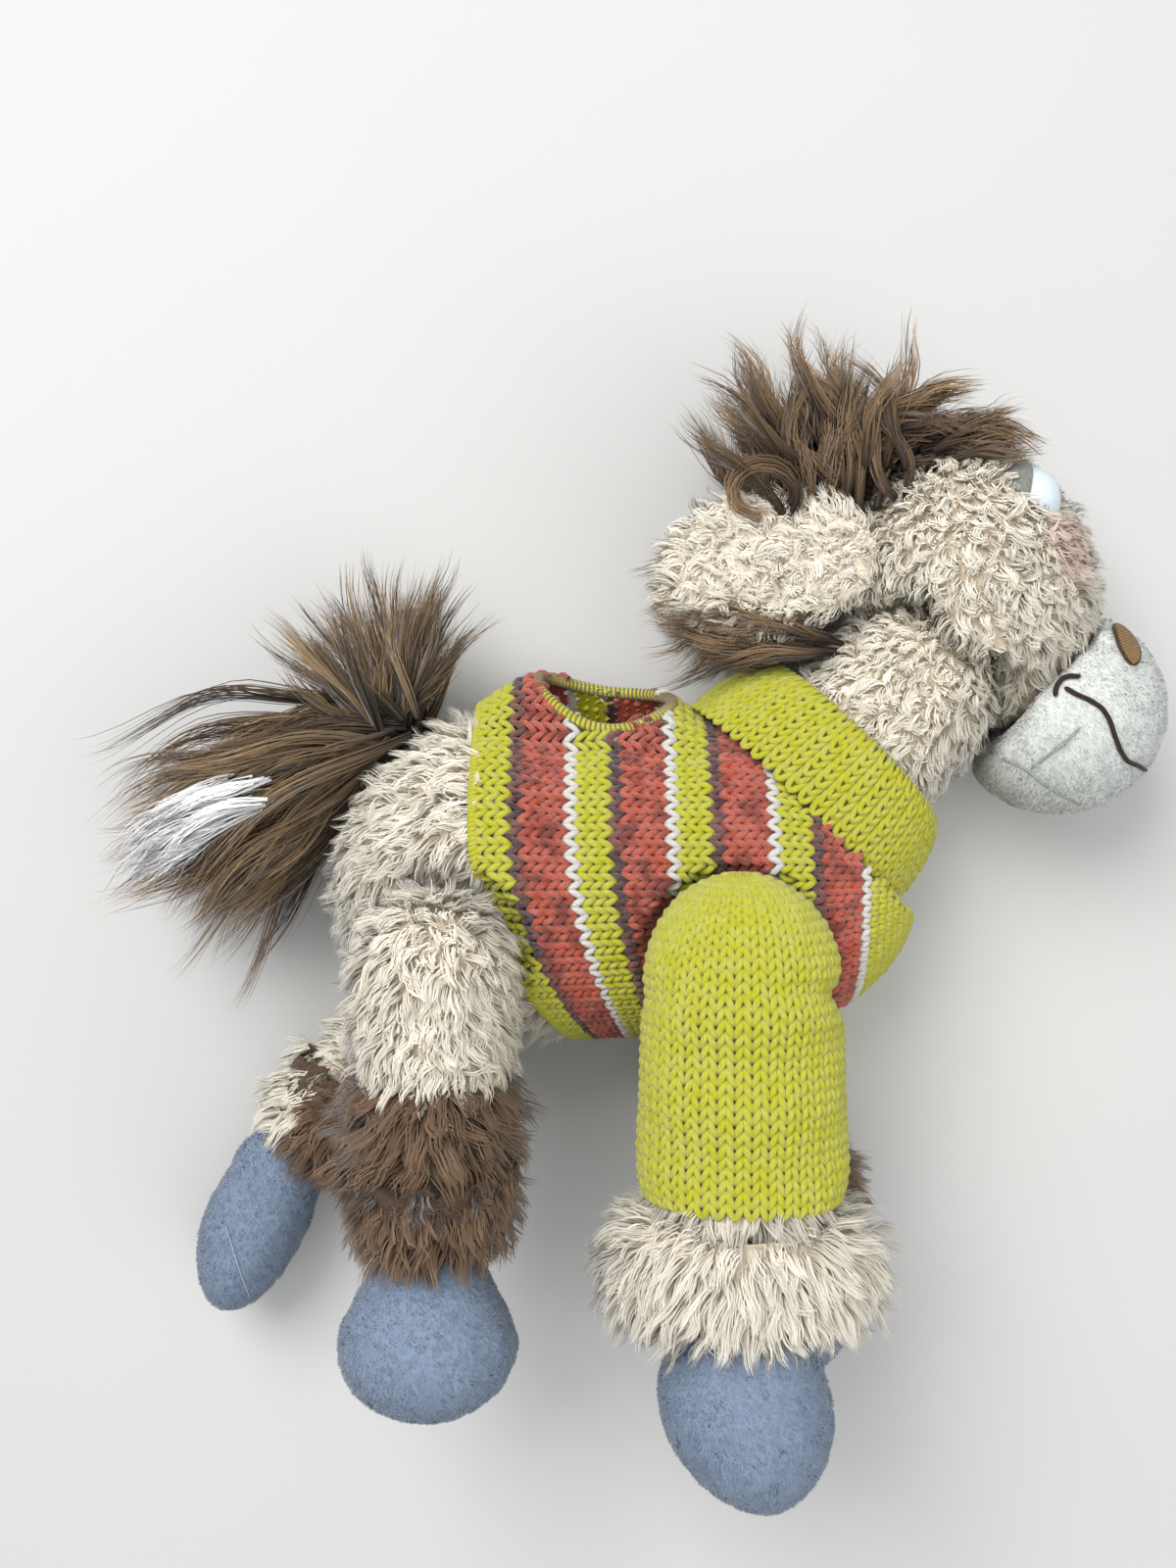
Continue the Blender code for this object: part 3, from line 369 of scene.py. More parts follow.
def nap(name, base, body, slot, material, seed):
    """Short nap: one small blade a point."""
    f = bpy.context.scene.horse_fur
    rng = np.random.default_rng(seed)
    at, out = sampled(base, f.nap_spacing, rng)
    comb = np.tile((0.1, -1.0, 0.0), (len(at), 1)) + rng.normal(size=at.shape) * 0.25
    paths, tones = pile_paths(at, out, comb, rng, f.nap, 0.55, 0.05, 0.0, 3, 0.15)
    facing = unit(out + UP * 0.6 + rng.normal(size=at.shape) * 0.25)
    widths = np.full(len(at), NAP_WIDTH)
    bent = unit(out + rng.normal(size=at.shape) * 0.24)
    for mesh in strands(name, paths, widths, facing, tones, bent):
        show(mesh.name, mesh, material, body)


# Finishes


def shader_of(name, roughness, sheen=0.0):
    material = bpy.data.materials.new(name)
    material.use_nodes = True
    nodes, links = material.node_tree.nodes, material.node_tree.links
    shader = nodes["Principled BSDF"]
    shader.inputs["Roughness"].default_value = roughness
    shader.inputs["Specular IOR Level"].default_value = 0.25
    shader.inputs["Sheen Weight"].default_value = sheen
    shader.inputs["Sheen Roughness"].default_value = 0.4
    return material, nodes, links, shader


def ramp_of(nodes, stops):
    ramp = nodes.new("ShaderNodeValToRGB")
    points = ramp.color_ramp.elements
    while len(points) < len(stops):
        points.new(0.5)
    for point, (at, look) in zip(points, stops):
        point.position = at
        point.color = (*look, 1)
    return ramp


def mixed(a, b, k):
    return tuple(x * (1 - k) + y * k for x, y in zip(a, b))


def along_parts(nodes, links):
    """The map that pieces carry: X from strand to strand or round a yarn, Y along it."""
    uv = nodes.new("ShaderNodeUVMap")
    uv.uv_map = "along"
    parts = nodes.new("ShaderNodeSeparateXYZ")
    links.new(uv.outputs[0], parts.inputs[0])
    return parts


def noise_of(nodes, links, scale, detail):
    coordinates = nodes.new("ShaderNodeTexCoord")
    noise = nodes.new("ShaderNodeTexNoise")
    noise.inputs["Scale"].default_value = scale
    noise.inputs["Detail"].default_value = detail
    links.new(coordinates.outputs["Object"], noise.inputs["Vector"])
    return noise.outputs["Fac"]


def spread_of(nodes, links, value, settings):
    """A value brought from one range to another."""
    spread = nodes.new("ShaderNodeMapRange")
    for name, setting in settings.items():
        spread.inputs[name].default_value = setting
    links.new(value, spread.inputs["Value"])
    return spread


def tinted(nodes, links, colour_from, tint, amount):
    """A colour turned towards a tint by an amount."""
    mix = nodes.new("ShaderNodeMix")
    mix.data_type = "RGBA"
    links.new(amount, mix.inputs["Factor"])
    links.new(colour_from, mix.inputs["A"])
    mix.inputs["B"].default_value = (*tint, 1)
    return mix.outputs["Result"]


def sum_of(nodes, links, operation, first, second=None):
    """A sum on a value, with a number or none."""
    maths = nodes.new("ShaderNodeMath")
    maths.operation = operation
    links.new(first, maths.inputs[0])
    if second is not None:
        maths.inputs[1].default_value = second
    return maths


BUMP_DEPTH = 0.0004


def bumped(nodes, links, shader, height, strength):
    lift = nodes.new("ShaderNodeBump")
    lift.inputs["Strength"].default_value = strength
    lift.inputs["Distance"].default_value = BUMP_DEPTH
    links.new(height, lift.inputs["Height"])
    links.new(lift.outputs[0], shader.inputs["Normal"])


def hair_finish(name, root, tip, mid=0.45, roughness=0.75, patch=None, tones=(0.66, 1.26)):
    """Colour from root to tip, darker at the root as painted shade deep in the pile, lighter and darker from
    strand to strand.
    """
    material, nodes, links, shader = shader_of(name, roughness, 0.25)
    parts = along_parts(nodes, links)
    # The root stop is the darker one: painted shade deep in the pile.
    ramp = ramp_of(nodes, [(0.0, root), (mid, mixed(root, tip, 0.7)), (1.0, tip)])
    links.new(parts.outputs["Y"], ramp.inputs[0])
    tone = spread_of(nodes, links, parts.outputs["X"], {"To Min": tones[0], "To Max": tones[1]})
    shade = nodes.new("ShaderNodeHueSaturation")
    links.new(tone.outputs[0], shade.inputs["Value"])
    links.new(ramp.outputs[0], shade.inputs["Color"])
    result = shade.outputs[0]
    if patch:
        centre, radius, look = patch
        coordinates = nodes.new("ShaderNodeTexCoord")
        away = nodes.new("ShaderNodeVectorMath")
        away.operation = "DISTANCE"
        away.inputs[1].default_value = centre
        links.new(coordinates.outputs["Object"], away.inputs[0])
        reach = {"From Min": radius * 0.3, "From Max": radius, "To Min": 0.55, "To Max": 0.0}
        near = spread_of(nodes, links, away.outputs["Value"], reach)
        near.interpolation_type = "SMOOTHSTEP"
        result = tinted(nodes, links, result, look, near.outputs[0])
    links.new(result, shader.inputs["Base Color"])
    return material


def cloth_finish(name, dark, light, grain=900.0, bump=0.25, roughness=0.9):
    """Backing cloth: two tones in a fine grain."""
    material, nodes, links, shader = shader_of(name, roughness, 0.2)
    noise = noise_of(nodes, links, grain, 4)
    ramp = ramp_of(nodes, [(0.3, dark), (0.7, light)])
    links.new(noise, ramp.inputs[0])
    links.new(ramp.outputs[0], shader.inputs["Base Color"])
    bumped(nodes, links, shader, noise, bump)
    return material


def yarn_finish(name, look, flecks=None):
    """Plied yarn: the plies wind round it, with painted shade in the grooves between them and a painted
    highlight on them, and its colour wanders a little, or far where it is flecked.
    """
    material, nodes, links, shader = shader_of(name, 0.85, 0.35)
    uv = nodes.new("ShaderNodeUVMap")
    uv.uv_map = "along"
    wave = nodes.new("ShaderNodeTexWave")
    wave.wave_type = "BANDS"
    wave.bands_direction = "DIAGONAL"
    wave.inputs["Scale"].default_value = 5.0
    wave.inputs["Distortion"].default_value = 3.0
    wave.inputs["Detail"].default_value = 2.0
    links.new(uv.outputs[0], wave.inputs["Vector"])
    blend = sum_of(nodes, links, "MULTIPLY", wave.outputs["Fac"])
    links.new(noise_of(nodes, links, 260.0, 5), blend.inputs[1])
    # Darker bands: painted shade in the grooves between the plies; lighter bands: a painted highlight on the
    # plies.
    ramp = ramp_of(nodes, [(0.05, mixed(look, DARK, 0.42)), (0.32, look), (0.62, mixed(look, LIGHT, 0.16))])
    links.new(blend.outputs[0], ramp.inputs[0])
    result = ramp.outputs[0]
    if flecks:
        spots = noise_of(nodes, links, 150.0, 6)
        much = spread_of(nodes, links, spots, {"From Min": 0.46, "From Max": 0.62, "To Max": 0.80})
        result = tinted(nodes, links, result, flecks, much.outputs[0])
    links.new(result, shader.inputs["Base Color"])
    bumped(nodes, links, shader, blend.outputs[0], 0.6)
    return material


# Stuffed forms


def joined_mesh(names):
    points, faces, start = [], [], 0
    for name in names:
        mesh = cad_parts[name].data
        points += [v.co.copy() for v in mesh.vertices]
        faces += [[start + i for i in p.vertices] for p in mesh.polygons]
        start += len(mesh.vertices)
    mesh = bpy.data.meshes.new(names[0] + "_copy")
    mesh.from_pydata(points, [], faces)
    return mesh


def settled(thing):
    """A new mesh of an object as its modifiers leave it."""
    return bpy.data.meshes.new_from_object(thing.evaluated_get(bpy.context.evaluated_depsgraph_get()))


def set_points(mesh, points):
    mesh.vertices.foreach_set("co", points.astype(np.float32).ravel())


SMOOTH_ROUNDS, SWELL_FRAMES = 4, 20


def remeshed(name, mesh, voxel, inflate):
    """A copy with even small faces, smoothed and moved out along its normals."""
    thing = bpy.data.objects.new(name, mesh)
    bpy.context.scene.collection.objects.link(thing)
    remesh = thing.modifiers.new("even", "REMESH")
    remesh.mode = "VOXEL"
    remesh.voxel_size = voxel
    ease = thing.modifiers.new("ease", "SMOOTH")
    ease.iterations = SMOOTH_ROUNDS
    swell = thing.modifiers.new("cloth", "DISPLACE")
    swell.mid_level = 0
    swell.strength = inflate
    even = settled(thing)
    bpy.data.objects.remove(thing)
    return even


def stuffed(meshes):
    """Swell closed meshes with a cloth simulation, each point moving no further than the cap."""
    cap = body_sizes().swell
    scene = bpy.context.scene
    things = []
    for name, mesh in meshes.items():
        thing = bpy.data.objects.new(name + "_swelling", mesh)
        scene.collection.objects.link(thing)
        cloth = thing.modifiers.new("stuffing", "CLOTH")
        cloth.settings.use_pressure = True
        cloth.settings.uniform_pressure_force = 4
        cloth.settings.quality = 4
        cloth.settings.effector_weights.gravity = 0
        cloth.collision_settings.use_collision = False
        things.append(thing)
    for number in range(1, SWELL_FRAMES + 1):
        scene.frame_set(number)
    results = {}
    for thing, (name, mesh) in zip(things, meshes.items()):
        swollen = settled(thing)
        before, after = (read(m.vertices, "co", float) for m in (mesh, swollen))
        move = after - before
        move -= move.mean(0)
        far = np.linalg.norm(move, axis=1, keepdims=True)
        move *= np.minimum(1, cap / np.maximum(far, 1e-9))
        set_points(swollen, before + move)
        swollen.update()
        results[name] = swollen
        bpy.data.objects.remove(thing)
    scene.frame_set(1)
    return results


def leg_frame(spec):
    a = math.radians(spec["rest"])
    return np.array(spec["hip"]), math.cos(a), math.sin(a)


def down_of(spec):
    """The way down a leg as it lies."""
    a = math.radians(spec["rest"])
    return math.sin(a), -math.cos(a), 0


def to_leg(spec, points):
    """Points in a leg's own frame: hip at the origin, foot towards -Y."""
    hip, c, s = leg_frame(spec)
    x, y = points[..., 0] - hip[0], points[..., 1] - hip[1]
    return x * c + y * s, -x * s + y * c


def from_leg(spec, x, y, z):
    hip, c, s = leg_frame(spec)
    return np.stack([x * c - y * s + hip[0], x * s + y * c + hip[1], z], axis=-1)


def leg_profile(spec, y):
    """Half width, height of the middle and half thickness of a leg at places along it."""
    b = body_sizes()
    top, whole_length = spec["wide"], spec["wide"] + spec["foot"]
    t = (top - y) / whole_length
    full = roundness(t, whole_length / top)
    full = np.where((t < 0) | (t > 1), 0, full)
    shares = ARM_SHARES if spec["sleeve"] else LEG_SHARES
    half = spec["wide"] * smooth(shares, t) * full
    if spec["side"] > 0:
        centre = middle() + b.seat_rise + b.play + b.leg_thick + 0 * t
        return half, centre, b.leg_thick * full
    thick = b.leg_thick * np.clip(smooth(LEFT_HIGH_SHARES, t), HIP_SHARE, 1)
    return half, thick - b.flat, thick * full


def pressed(points, margin):
    """Press the torso's cloth in where a leg lies on it or under it at any angle of its swing."""
    z = points[..., 2]
    swung = [dict(spec, rest=spec["rest"] + by)
             for spec in LEGS.values() for by in np.linspace(*spec["swing"], 8)]
    for spec in swung:
        x, y = to_leg(spec, points)
        nearer = np.where(y > 0, spec["wide"] / (spec["wide"] + margin), 1)
        half, centre, thick = leg_profile(spec, y * nearer)
        inside = 1 - (x / (half + margin)) ** 2
        rise = (thick + margin) * np.sqrt(np.clip(inside, 0, 1))
        under = (inside > 0) & (half > 1e-5)
        if spec["side"] > 0:
            z = np.where(under & (z > middle()), np.minimum(z, centre - rise), z)
        else:
            z = np.where(under & (z < middle()), np.maximum(z, centre + rise), z)
    points = points.copy()
    points[..., 2] = z
    return points


RIDGE_RISE, RIDGE_HALF, RIDGE_FROM_SHARE, RIDGE_TO_SHARE = 0.017, 0.024, -0.30, 0.17
SCOOP_LENGTH, SCOOP_SHARE = 0.042, -0.038


def torso_radii(x):
    """Half the torso's depth and half its width at places along it."""
    b = body_sizes()
    t = x / b.torso_length + 0.5
    full = roundness(t, b.torso_length / (b.torso_depth / 2))
    return (b.torso_depth / 2 * smooth(TORSO_DEPTH_SHARES, t) * full,
            b.torso_width / 2 * smooth(TORSO_WIDTH_SHARES, t) * full)


def torso_point(x, angle, out, ridge=False):
    """A point of the torso; angle 0 is the back, a quarter turn is the side that faces up."""
    deep, wide = (radius + out for radius in torso_radii(x))
    y, z = deep * np.cos(angle), middle() + wide * np.sin(angle)
    if ridge:
        y = y + ridge_rise(x, y, z)
    return np.stack(np.broadcast_arrays(x, y, z), axis=-1)


def ridge_rise(x, y, z):
    b = body_sizes()
    first, last = b.torso_length * RIDGE_FROM_SHARE, b.torso_length * RIDGE_TO_SHARE
    along = (x - first) / (last - first)
    aside = (z - middle()) / RIDGE_HALF
    on = (y > 0) & (along > 0) & (along < 1) & (np.abs(aside) < 1)
    return np.where(on, RIDGE_RISE * np.sin(math.pi * along) * np.cos(math.pi * aside / 2), 0)


def closed_round(grid):
    """A grid with its first column again after its last."""
    return np.concatenate([grid, grid[:, :1]], axis=1)


def quads_of(number):
    """The faces between a grid's numbered points."""
    return np.stack([number[:-1, :-1], number[:-1, 1:], number[1:, 1:], number[1:, :-1]], axis=-1)


def grid_mesh(name, points):
    """A mesh of a grid of points of shape (rows, columns, 3), closed round its rows."""
    rows, columns = points.shape[:2]
    number = closed_round(np.arange(rows * columns).reshape(rows, columns))
    return mesh_of(name, points.reshape(-1, 3), [quads_of(number).reshape(-1, 4)])


# Knitting


def tubes(name, centres, normals, radius, sides=6):
    """One mesh of open tubes along lines of centres of shape (tubes, points, 3)."""
    count, steps = centres.shape[:2]
    along = unit(np.gradient(centres, axis=1))
    across = unit(np.cross(along, normals))
    up = np.cross(across, along)
    turn = np.linspace(0, 2 * math.pi, sides, endpoint=False)
    r = np.broadcast_to(radius, (count, steps))[..., None, None]
    aside, rise = np.cos(turn)[:, None] * across[:, :, None], np.sin(turn)[:, None] * up[:, :, None]
    points = (centres[:, :, None] + r * (aside + rise)).reshape(-1, 3)
    points[:, 2] = np.maximum(points[:, 2], YARN_OFF)
    k = np.arange(sides)
    one = np.stack([k, (k + 1) % sides, (k + 1) % sides + sides, k + sides], axis=-1)
    base = (np.arange(count)[:, None] * steps + np.arange(steps - 1)[None]).reshape(-1, 1, 1) * sides
    quads = (base + one[None]).reshape(-1, 4)
    t = np.arange(steps) / (steps - 1)
    v = np.broadcast_to((np.arange(count)[:, None] + t[None])[..., None], (count, steps, sides))
    u = np.broadcast_to(np.abs(np.arange(sides) / sides * 2 - 1), (count, steps, sides))
    uvs = np.stack([u, v], axis=-1).reshape(-1, 2)
    return mesh_of(name, points, [quads], uvs)


def spot_normals(spot, u, v):
    """Where a point of a knitted surface is, and the way out of it."""
    e = 0.02  # of a stitch
    at = spot(u, v)
    out = np.cross(spot(u + e, v) - spot(u - e, v), spot(u, v + e) - spot(u, v - e))
    return at, unit(out)


STITCH_STEPS = 13


def stitches(name, spot, columns, rows, radius, wave=-0.04, tall=0.66, deep=0.9, seed=1):
    """Yarn of the stitches at these columns and rows; a stitch's legs stand in front of its heads."""
    rng = np.random.default_rng(seed)
    t = np.linspace(0, 1, STITCH_STEPS)[None]
    c, r = columns[:, None].astype(float), rows[:, None].astype(float)
    u = c + t + wave * np.sin(4 * math.pi * t)
    v = r + 0.5 + tall * np.cos(2 * math.pi * t)
    at, out = spot_normals(spot, u, v)
    lift = -np.cos(4 * math.pi * t) * radius * deep
    ease = (rng.random((len(columns), 1)) - 0.5) * radius * 0.5 * np.sin(math.pi * t)
    thick = radius * (0.94 + 0.12 * rng.random((len(columns), 1)))
    thick = np.broadcast_to(thick, (len(columns), STITCH_STEPS))
    return tubes(name, at + out * (lift + ease)[..., None], out, thick)


SHEET_FINE = 2  # points of a backing for each stitch, along and across


def backing(name, spot, columns, row_count, sink, keep=None):
    """A sheet under the stitches, left out where there are none."""
    u = np.arange(columns * SHEET_FINE) / SHEET_FINE
    v = np.arange(row_count * SHEET_FINE + 1) / SHEET_FINE
    uu, vv = np.meshgrid(u, v)
    at, out = spot_normals(spot, uu, vv)
    at = at - out * sink
    at[..., 2] = np.maximum(at[..., 2], SHEET_OFF)
    rows, cols = at.shape[:2]
    quads = quads_of(closed_round(np.arange(rows * cols).reshape(rows, cols)))
    on = closed_round(keep(at) if keep else np.ones((rows, cols), bool))
    good = on[:-1, :-1] & on[:-1, 1:] & on[1:, 1:] & on[1:, :-1]
    quads = quads[good]
    used, again = np.unique(quads, return_inverse=True)
    uvs = np.stack([uu.ravel()[used], vv.ravel()[used]], axis=1)
    return mesh_of(name, at.reshape(-1, 3)[used], [again.reshape(-1, 4)], uvs)


FIBRE_WIDTH = 0.00012


def fuzz(name, mesh, body, material, spacing, size, seed):
    """Loose fibres that stand off the yarn; returns their pieces."""
    rng = np.random.default_rng(seed)
    thing = bpy.data.objects.new("fuzz_base", mesh)
    bpy.context.scene.collection.objects.link(thing)
    at, out = sampled(thing, spacing, rng)
    bpy.data.objects.remove(thing)
    comb = rng.normal(size=at.shape)
    paths, tones = pile_paths(at, out, comb, rng, size, 0.5, 0.3, size * 0.25, 4, 0.2)
    facing = rng.normal(size=at.shape)
    widths = np.full(len(at), FIBRE_WIDTH)
    return [show(m.name, m, material, body) for m in strands(name, paths, widths, facing, tones)]


# The pieces: one operator each


def base_of(name):
    return bpy.data.objects[name]


STUFFED = {  # the body, the nodes, the slot, and how far the form is moved out of its stuffing
    "torso": ("torso", ("torso_stuffing", "torso_skin"), "torso_skin", -0.0020),
    "neck": ("neck", ("neck_stuffing", "neck_skin"), "neck_skin", -0.0002),
    "head": ("head", ("head_stuffing", "head_skin"), "head_skin", -0.0002),
    "muzzle": ("head", ("muzzle_stuffing", "muzzle_skin"), "muzzle_skin", -0.0004),
}
for leg in LEGS:
    slack = -0.0022 if leg == "right_rear" else -0.0004
    for part, inflate in ((leg + "_leg", slack), (leg + "_hoof", 0.0)):
        STUFFED[part] = (part, (part + "_stuffing", part + "_skin"), part + "_skin", inflate)


CLOTH_PRESS, KNIT_PRESS = 0.0056, 0.0040  # left round a leg by the torso's cloth and by the knit
CLOTH_RINGS, CLOTH_ROUND, CLOTH_END = 44, 72, 0.03  # rings, points round each, angle from a pole to a ring


def torso_cloth():
    """The torso's form under the sweater, pressed in where the legs lie."""
    way = np.linspace(CLOTH_END, math.pi - CLOTH_END, CLOTH_RINGS)
    x = body_sizes().torso_length * ((1 - np.cos(way)) / 2 - 0.5)
    angle = np.linspace(0, 2 * math.pi, CLOTH_ROUND, endpoint=False)
    points = pressed(torso_point(x[:, None], angle[None], 0.0), CLOTH_PRESS)
    ring = len(angle)
    flat = points.reshape(-1, 3)
    ends = np.stack([points[0].mean(0), points[-1].mean(0)])
    number = np.arange(len(flat)).reshape(-1, ring)
    quads = quads_of(closed_round(number)).reshape(-1, 4)
    k = np.arange(ring)
    after = (k + 1) % ring
    low = np.stack([np.full(ring, len(flat)), after, k], axis=-1)
    last = number[-1, 0]
    high = np.stack([np.full(ring, len(flat) + 1), last + k, last + after], axis=-1)
    return mesh_of("torso_cloth", np.concatenate([flat, ends]), [quads, low, high])


def pointed(mesh, ankle, below, aside, taper, longer):
    """Draw a hoof's tip out: longer, aside, and narrower towards its end."""
    points = read(mesh.vertices, "co", float)
    deep = np.clip((ankle[1] - points[:, 1]) / below, 0, 1.2) ** 1.5
    points[:, 0] = ankle[0] + (points[:, 0] - ankle[0]) * (1 - taper * deep) + aside * deep
    points[:, 1] -= longer * deep
    set_points(mesh, points)


THROAT = -NECK_OUT  # the way out of the neck under the jaw
THROAT_FROM, THROAT_PRESS = 0.018, 0.32  # from the neck's axis, and the share of what stands past it


def slimmed(mesh, foot):
    """Press the neck in at the throat."""
    points = read(mesh.vertices, "co", float)
    past = np.clip((points - np.array(foot)) @ THROAT - THROAT_FROM, 0, None)
    points -= THROAT * (past * THROAT_PRESS)[:, None]
    set_points(mesh, points)


# The ankle, how far below it the tip lies, how far aside it is drawn, its taper, how much it grows
HOOF_TIPS = {
    "right_front_hoof": ((0.0310, -0.1320), 0.041, 0.0060, 0.26, 0.0),
    "left_rear_hoof": ((-0.1119, -0.0954), 0.042, -0.0085, 0.22, 0.0045),
}


class HORSE_OT_stuff(bpy.types.Operator):
    """Swell the torso, neck, head, muzzle, legs and hooves as stuffed forms"""

    bl_idname = "horse.stuff"
    bl_label = "Stuffed forms"

    def execute(self, context):
        b, f = body_sizes(), context.scene.horse_fur
        meshes = {}
        for name, (body, nodes, slot, inflate) in STUFFED.items():
            source = torso_cloth() if name == "torso" else joined_mesh(nodes[:1])
            meshes[name] = remeshed(name + "_form", source, b.voxel, inflate)
            if name in HOOF_TIPS:
                pointed(meshes[name], *HOOF_TIPS[name])
            if name == "neck":
                slimmed(meshes[name], b.neck_foot)
        meshes = stuffed(meshes)
        looks = {
            # The cream backing is the root colour darkened further: painted shade under the pile.
            "cream": cloth_finish("cream_backing", mixed(f.cream_root, DARK, 0.25), f.cream_root),
            "blue": cloth_finish("blue_backing", f.blue_root, mixed(f.blue_root, f.blue_tip, 0.5)),
            "grey": cloth_finish("grey_backing", f.grey_root, mixed(f.grey_root, f.grey_tip, 0.5)),
        }
        for name, (body, nodes, slot, inflate) in STUFFED.items():
            look = looks["blue" if "hoof" in name else "grey" if name == "muzzle" else "cream"]
            mesh = meshes[name]
            mesh.shade_smooth()
            thing = show(name + "_plush", mesh, look, body, nodes)
            round_off = thing.modifiers.new("finer", "SUBSURF")
            round_off.levels = round_off.render_levels = 1
        return {"FINISHED"}


def tree_of(thing):
    return BVHTree.FromObject(thing, bpy.context.evaluated_depsgraph_get())


def clear_of(thing, depth):
    """Tells which points lie outside a form, or no deeper in it than this."""
    tree = tree_of(thing)

    def test(at):
        near = [tree.find_nearest(p) for p in at]
        hits = np.array([n[0] for n in near])
        ways = np.array([n[1] for n in near])
        return ((at - hits) * ways).sum(1) > -depth

    return test


def toward(direction):
    return lambda at: np.tile(np.array(direction, float), (len(at), 1))


def away_from(point, also=(0, 0, 0)):
    return lambda at: at - np.array(point) + np.array(also)


HEM_X = -0.0445  # where the hem lies over the back
HEM_SLANT, HEM_SLANT_FROM, HEM_SLANT_OVER = 0.0295, 0.02, 0.07


def hem_shift(y):
    """How much nearer to the chest the hem lies, from the back to the belly."""
    q = np.clip((HEM_SLANT_FROM - y) / HEM_SLANT_OVER, 0, 1)
    return HEM_SLANT * q**2


EYE_AT, EYE_BARE = np.array((0.0145, 0.0265, 0.0180)), 0.0118  # from the head's middle; bare round it
CREAM_TONES = (0.84, 1.14)
BLUSH_AT, BLUSH_RADIUS = (0.1280, 0.0985, 0.0670), 0.017
UNDER_HEM = 0.004  # how far the rump's pile begins under the sweater
SHOWN_FROM, SHOWN_PILE = 0.025, 0.0050  # the back's height where its short pile begins, and that pile
NECK_PILE_FROM = 0.012  # from the foot of the neck
HEAD_OVERLAP, NECK_TO_MUZZLE, HEAD_TO_MUZZLE = 0.002, -0.003, -0.0048  # where less than 0, a gap
BROWS, FACE_FALL = (0.090, 0.128, 0.041), (0, -0.02, 0)  # what the head's pile is combed away from
EAR_VOXEL = 0.0025
BROWN_RISE = {"right_rear": 0.010, "left_rear": 0.004}  # how far above a rear cuff its brown pile begins
PALE_SIDE = {"left_rear": -0.005}  # across a leg, where the cuff's brown pile gives way to cream


def brown_from(leg):
    return -LEGS[leg]["cuff"] + BROWN_RISE[leg]


def pale_side(leg, at):
    """Tells which points lie on the side of a leg that is cream as far down as the ankle."""
    return to_leg(LEGS[leg], at)[0] < PALE_SIDE.get(leg, -1)


class HORSE_OT_coat(bpy.types.Operator):
    """Cream pile on the rump, neck, head, ears and rear legs, and in the opening on the back"""

    bl_idname = "horse.coat"
    bl_label = "Cream coat"

    def execute(self, context):
        f, b = context.scene.horse_fur, body_sizes()
        cream = hair_finish("cream_pile", tuple(f.cream_root), tuple(f.cream_tip), tones=CREAM_TONES)
        blushed = hair_finish("cheek_pile", tuple(f.cream_root), tuple(f.cream_tip), tones=CREAM_TONES,
                              patch=(BLUSH_AT, BLUSH_RADIUS, tuple(f.blush)))
        self.torso(f, b, cream)
        self.neck(f, b, cream)
        self.head(f, b, blushed)
        self.ears(f, cream)
        self.rear_legs(f, cream)
        return {"FINISHED"}

    def torso(self, f, b, cream):
        base, opening = base_of("torso_plush"), b.torso_length * SCOOP_SHARE
        rump = lambda at, out: at[:, 0] < HEM_X + hem_shift(at[:, 1]) + UNDER_HEM
        coat("rump_pile", base, "torso", cream, 11, toward((-0.5, -0.8, 0)), f.pile, f.spacing,
             lean=0.72, keep=rump)
        shown = lambda at, out: (at[:, 1] > SHOWN_FROM) & (np.abs(at[:, 0] - opening) < SCOOP_LENGTH / 2)
        coat("back_pile", base, "torso", cream, 16, toward((-0.5, -0.3, 0)), SHOWN_PILE,
             f.spacing, lean=0.85, keep=shown)

    def neck(self, f, b, cream):
        foot = np.array(b.neck_foot)
        past_head = clear_of(base_of("head_plush"), HEAD_OVERLAP)
        past_muzzle = clear_of(base_of("muzzle_plush"), NECK_TO_MUZZLE)
        bare = lambda at, out: ((at - foot) @ NECK_AXIS > NECK_PILE_FROM) & past_head(at) & past_muzzle(at)
        coat("neck_pile", base_of("neck_plush"), "neck", cream, 12, toward((-0.55, -0.75, 0)),
             f.head_pile, f.spacing, lean=0.72, clump=0.085, keep=bare)

    def head(self, f, b, blushed):
        short_of_muzzle = clear_of(base_of("muzzle_plush"), HEAD_TO_MUZZLE)
        eyes = [np.array(b.head_centre) + EYE_AT * (1, 1, side) for side in (1, -1)]
        outside = lambda at, out: (
            short_of_muzzle(at)
            & (np.linalg.norm(at - eyes[0], axis=1) > EYE_BARE)
            & (np.linalg.norm(at - eyes[1], axis=1) > EYE_BARE)
        )
        coat("head_pile", base_of("head_plush"), "head", blushed, 13,
             away_from(BROWS, FACE_FALL), f.head_pile, f.spacing, lean=0.70, clump=0.085, keep=outside)

    def ears(self, f, cream):
        for name in ("right_ear", "left_ear"):
            body, mesh = name + "_flap", remeshed(name + "_form", joined_mesh([name]), EAR_VOXEL, 0.0)
            under = cloth_finish(name + "_backing", f.cream_root, f.cream_tip)
            base = show(name + "_cloth", mesh, under, body, [name, name + "_lining"])
            coat(name + "_pile", base, body, cream, 14, toward((-1.0, -0.25, 0)), f.head_pile,
                 f.spacing, clump=0.075)

    def rear_legs(self, f, cream):
        for leg in BROWN_RISE:
            above = lambda at, out, leg=leg: (to_leg(LEGS[leg], at)[1] > brown_from(leg)) | pale_side(leg, at)
            coat(leg + "_pile", base_of(leg + "_leg_plush"), leg + "_leg", cream, 15,
                 toward(down_of(LEGS[leg])), f.pile, f.spacing, lean=0.78, keep=above)


def down_cuff(spec):
    """Combs down a leg, and outward on a cuff's ends."""

    def comb(at):
        x, y = to_leg(spec, at)
        centre = leg_profile(spec, y)[1]
        across = leg_frame(spec)[1:]
        outward = unit(np.stack([x * across[0], x * across[1], at[:, 2] - centre], axis=1))
        return np.array(down_of(spec)) + outward * 0.7

    return comb


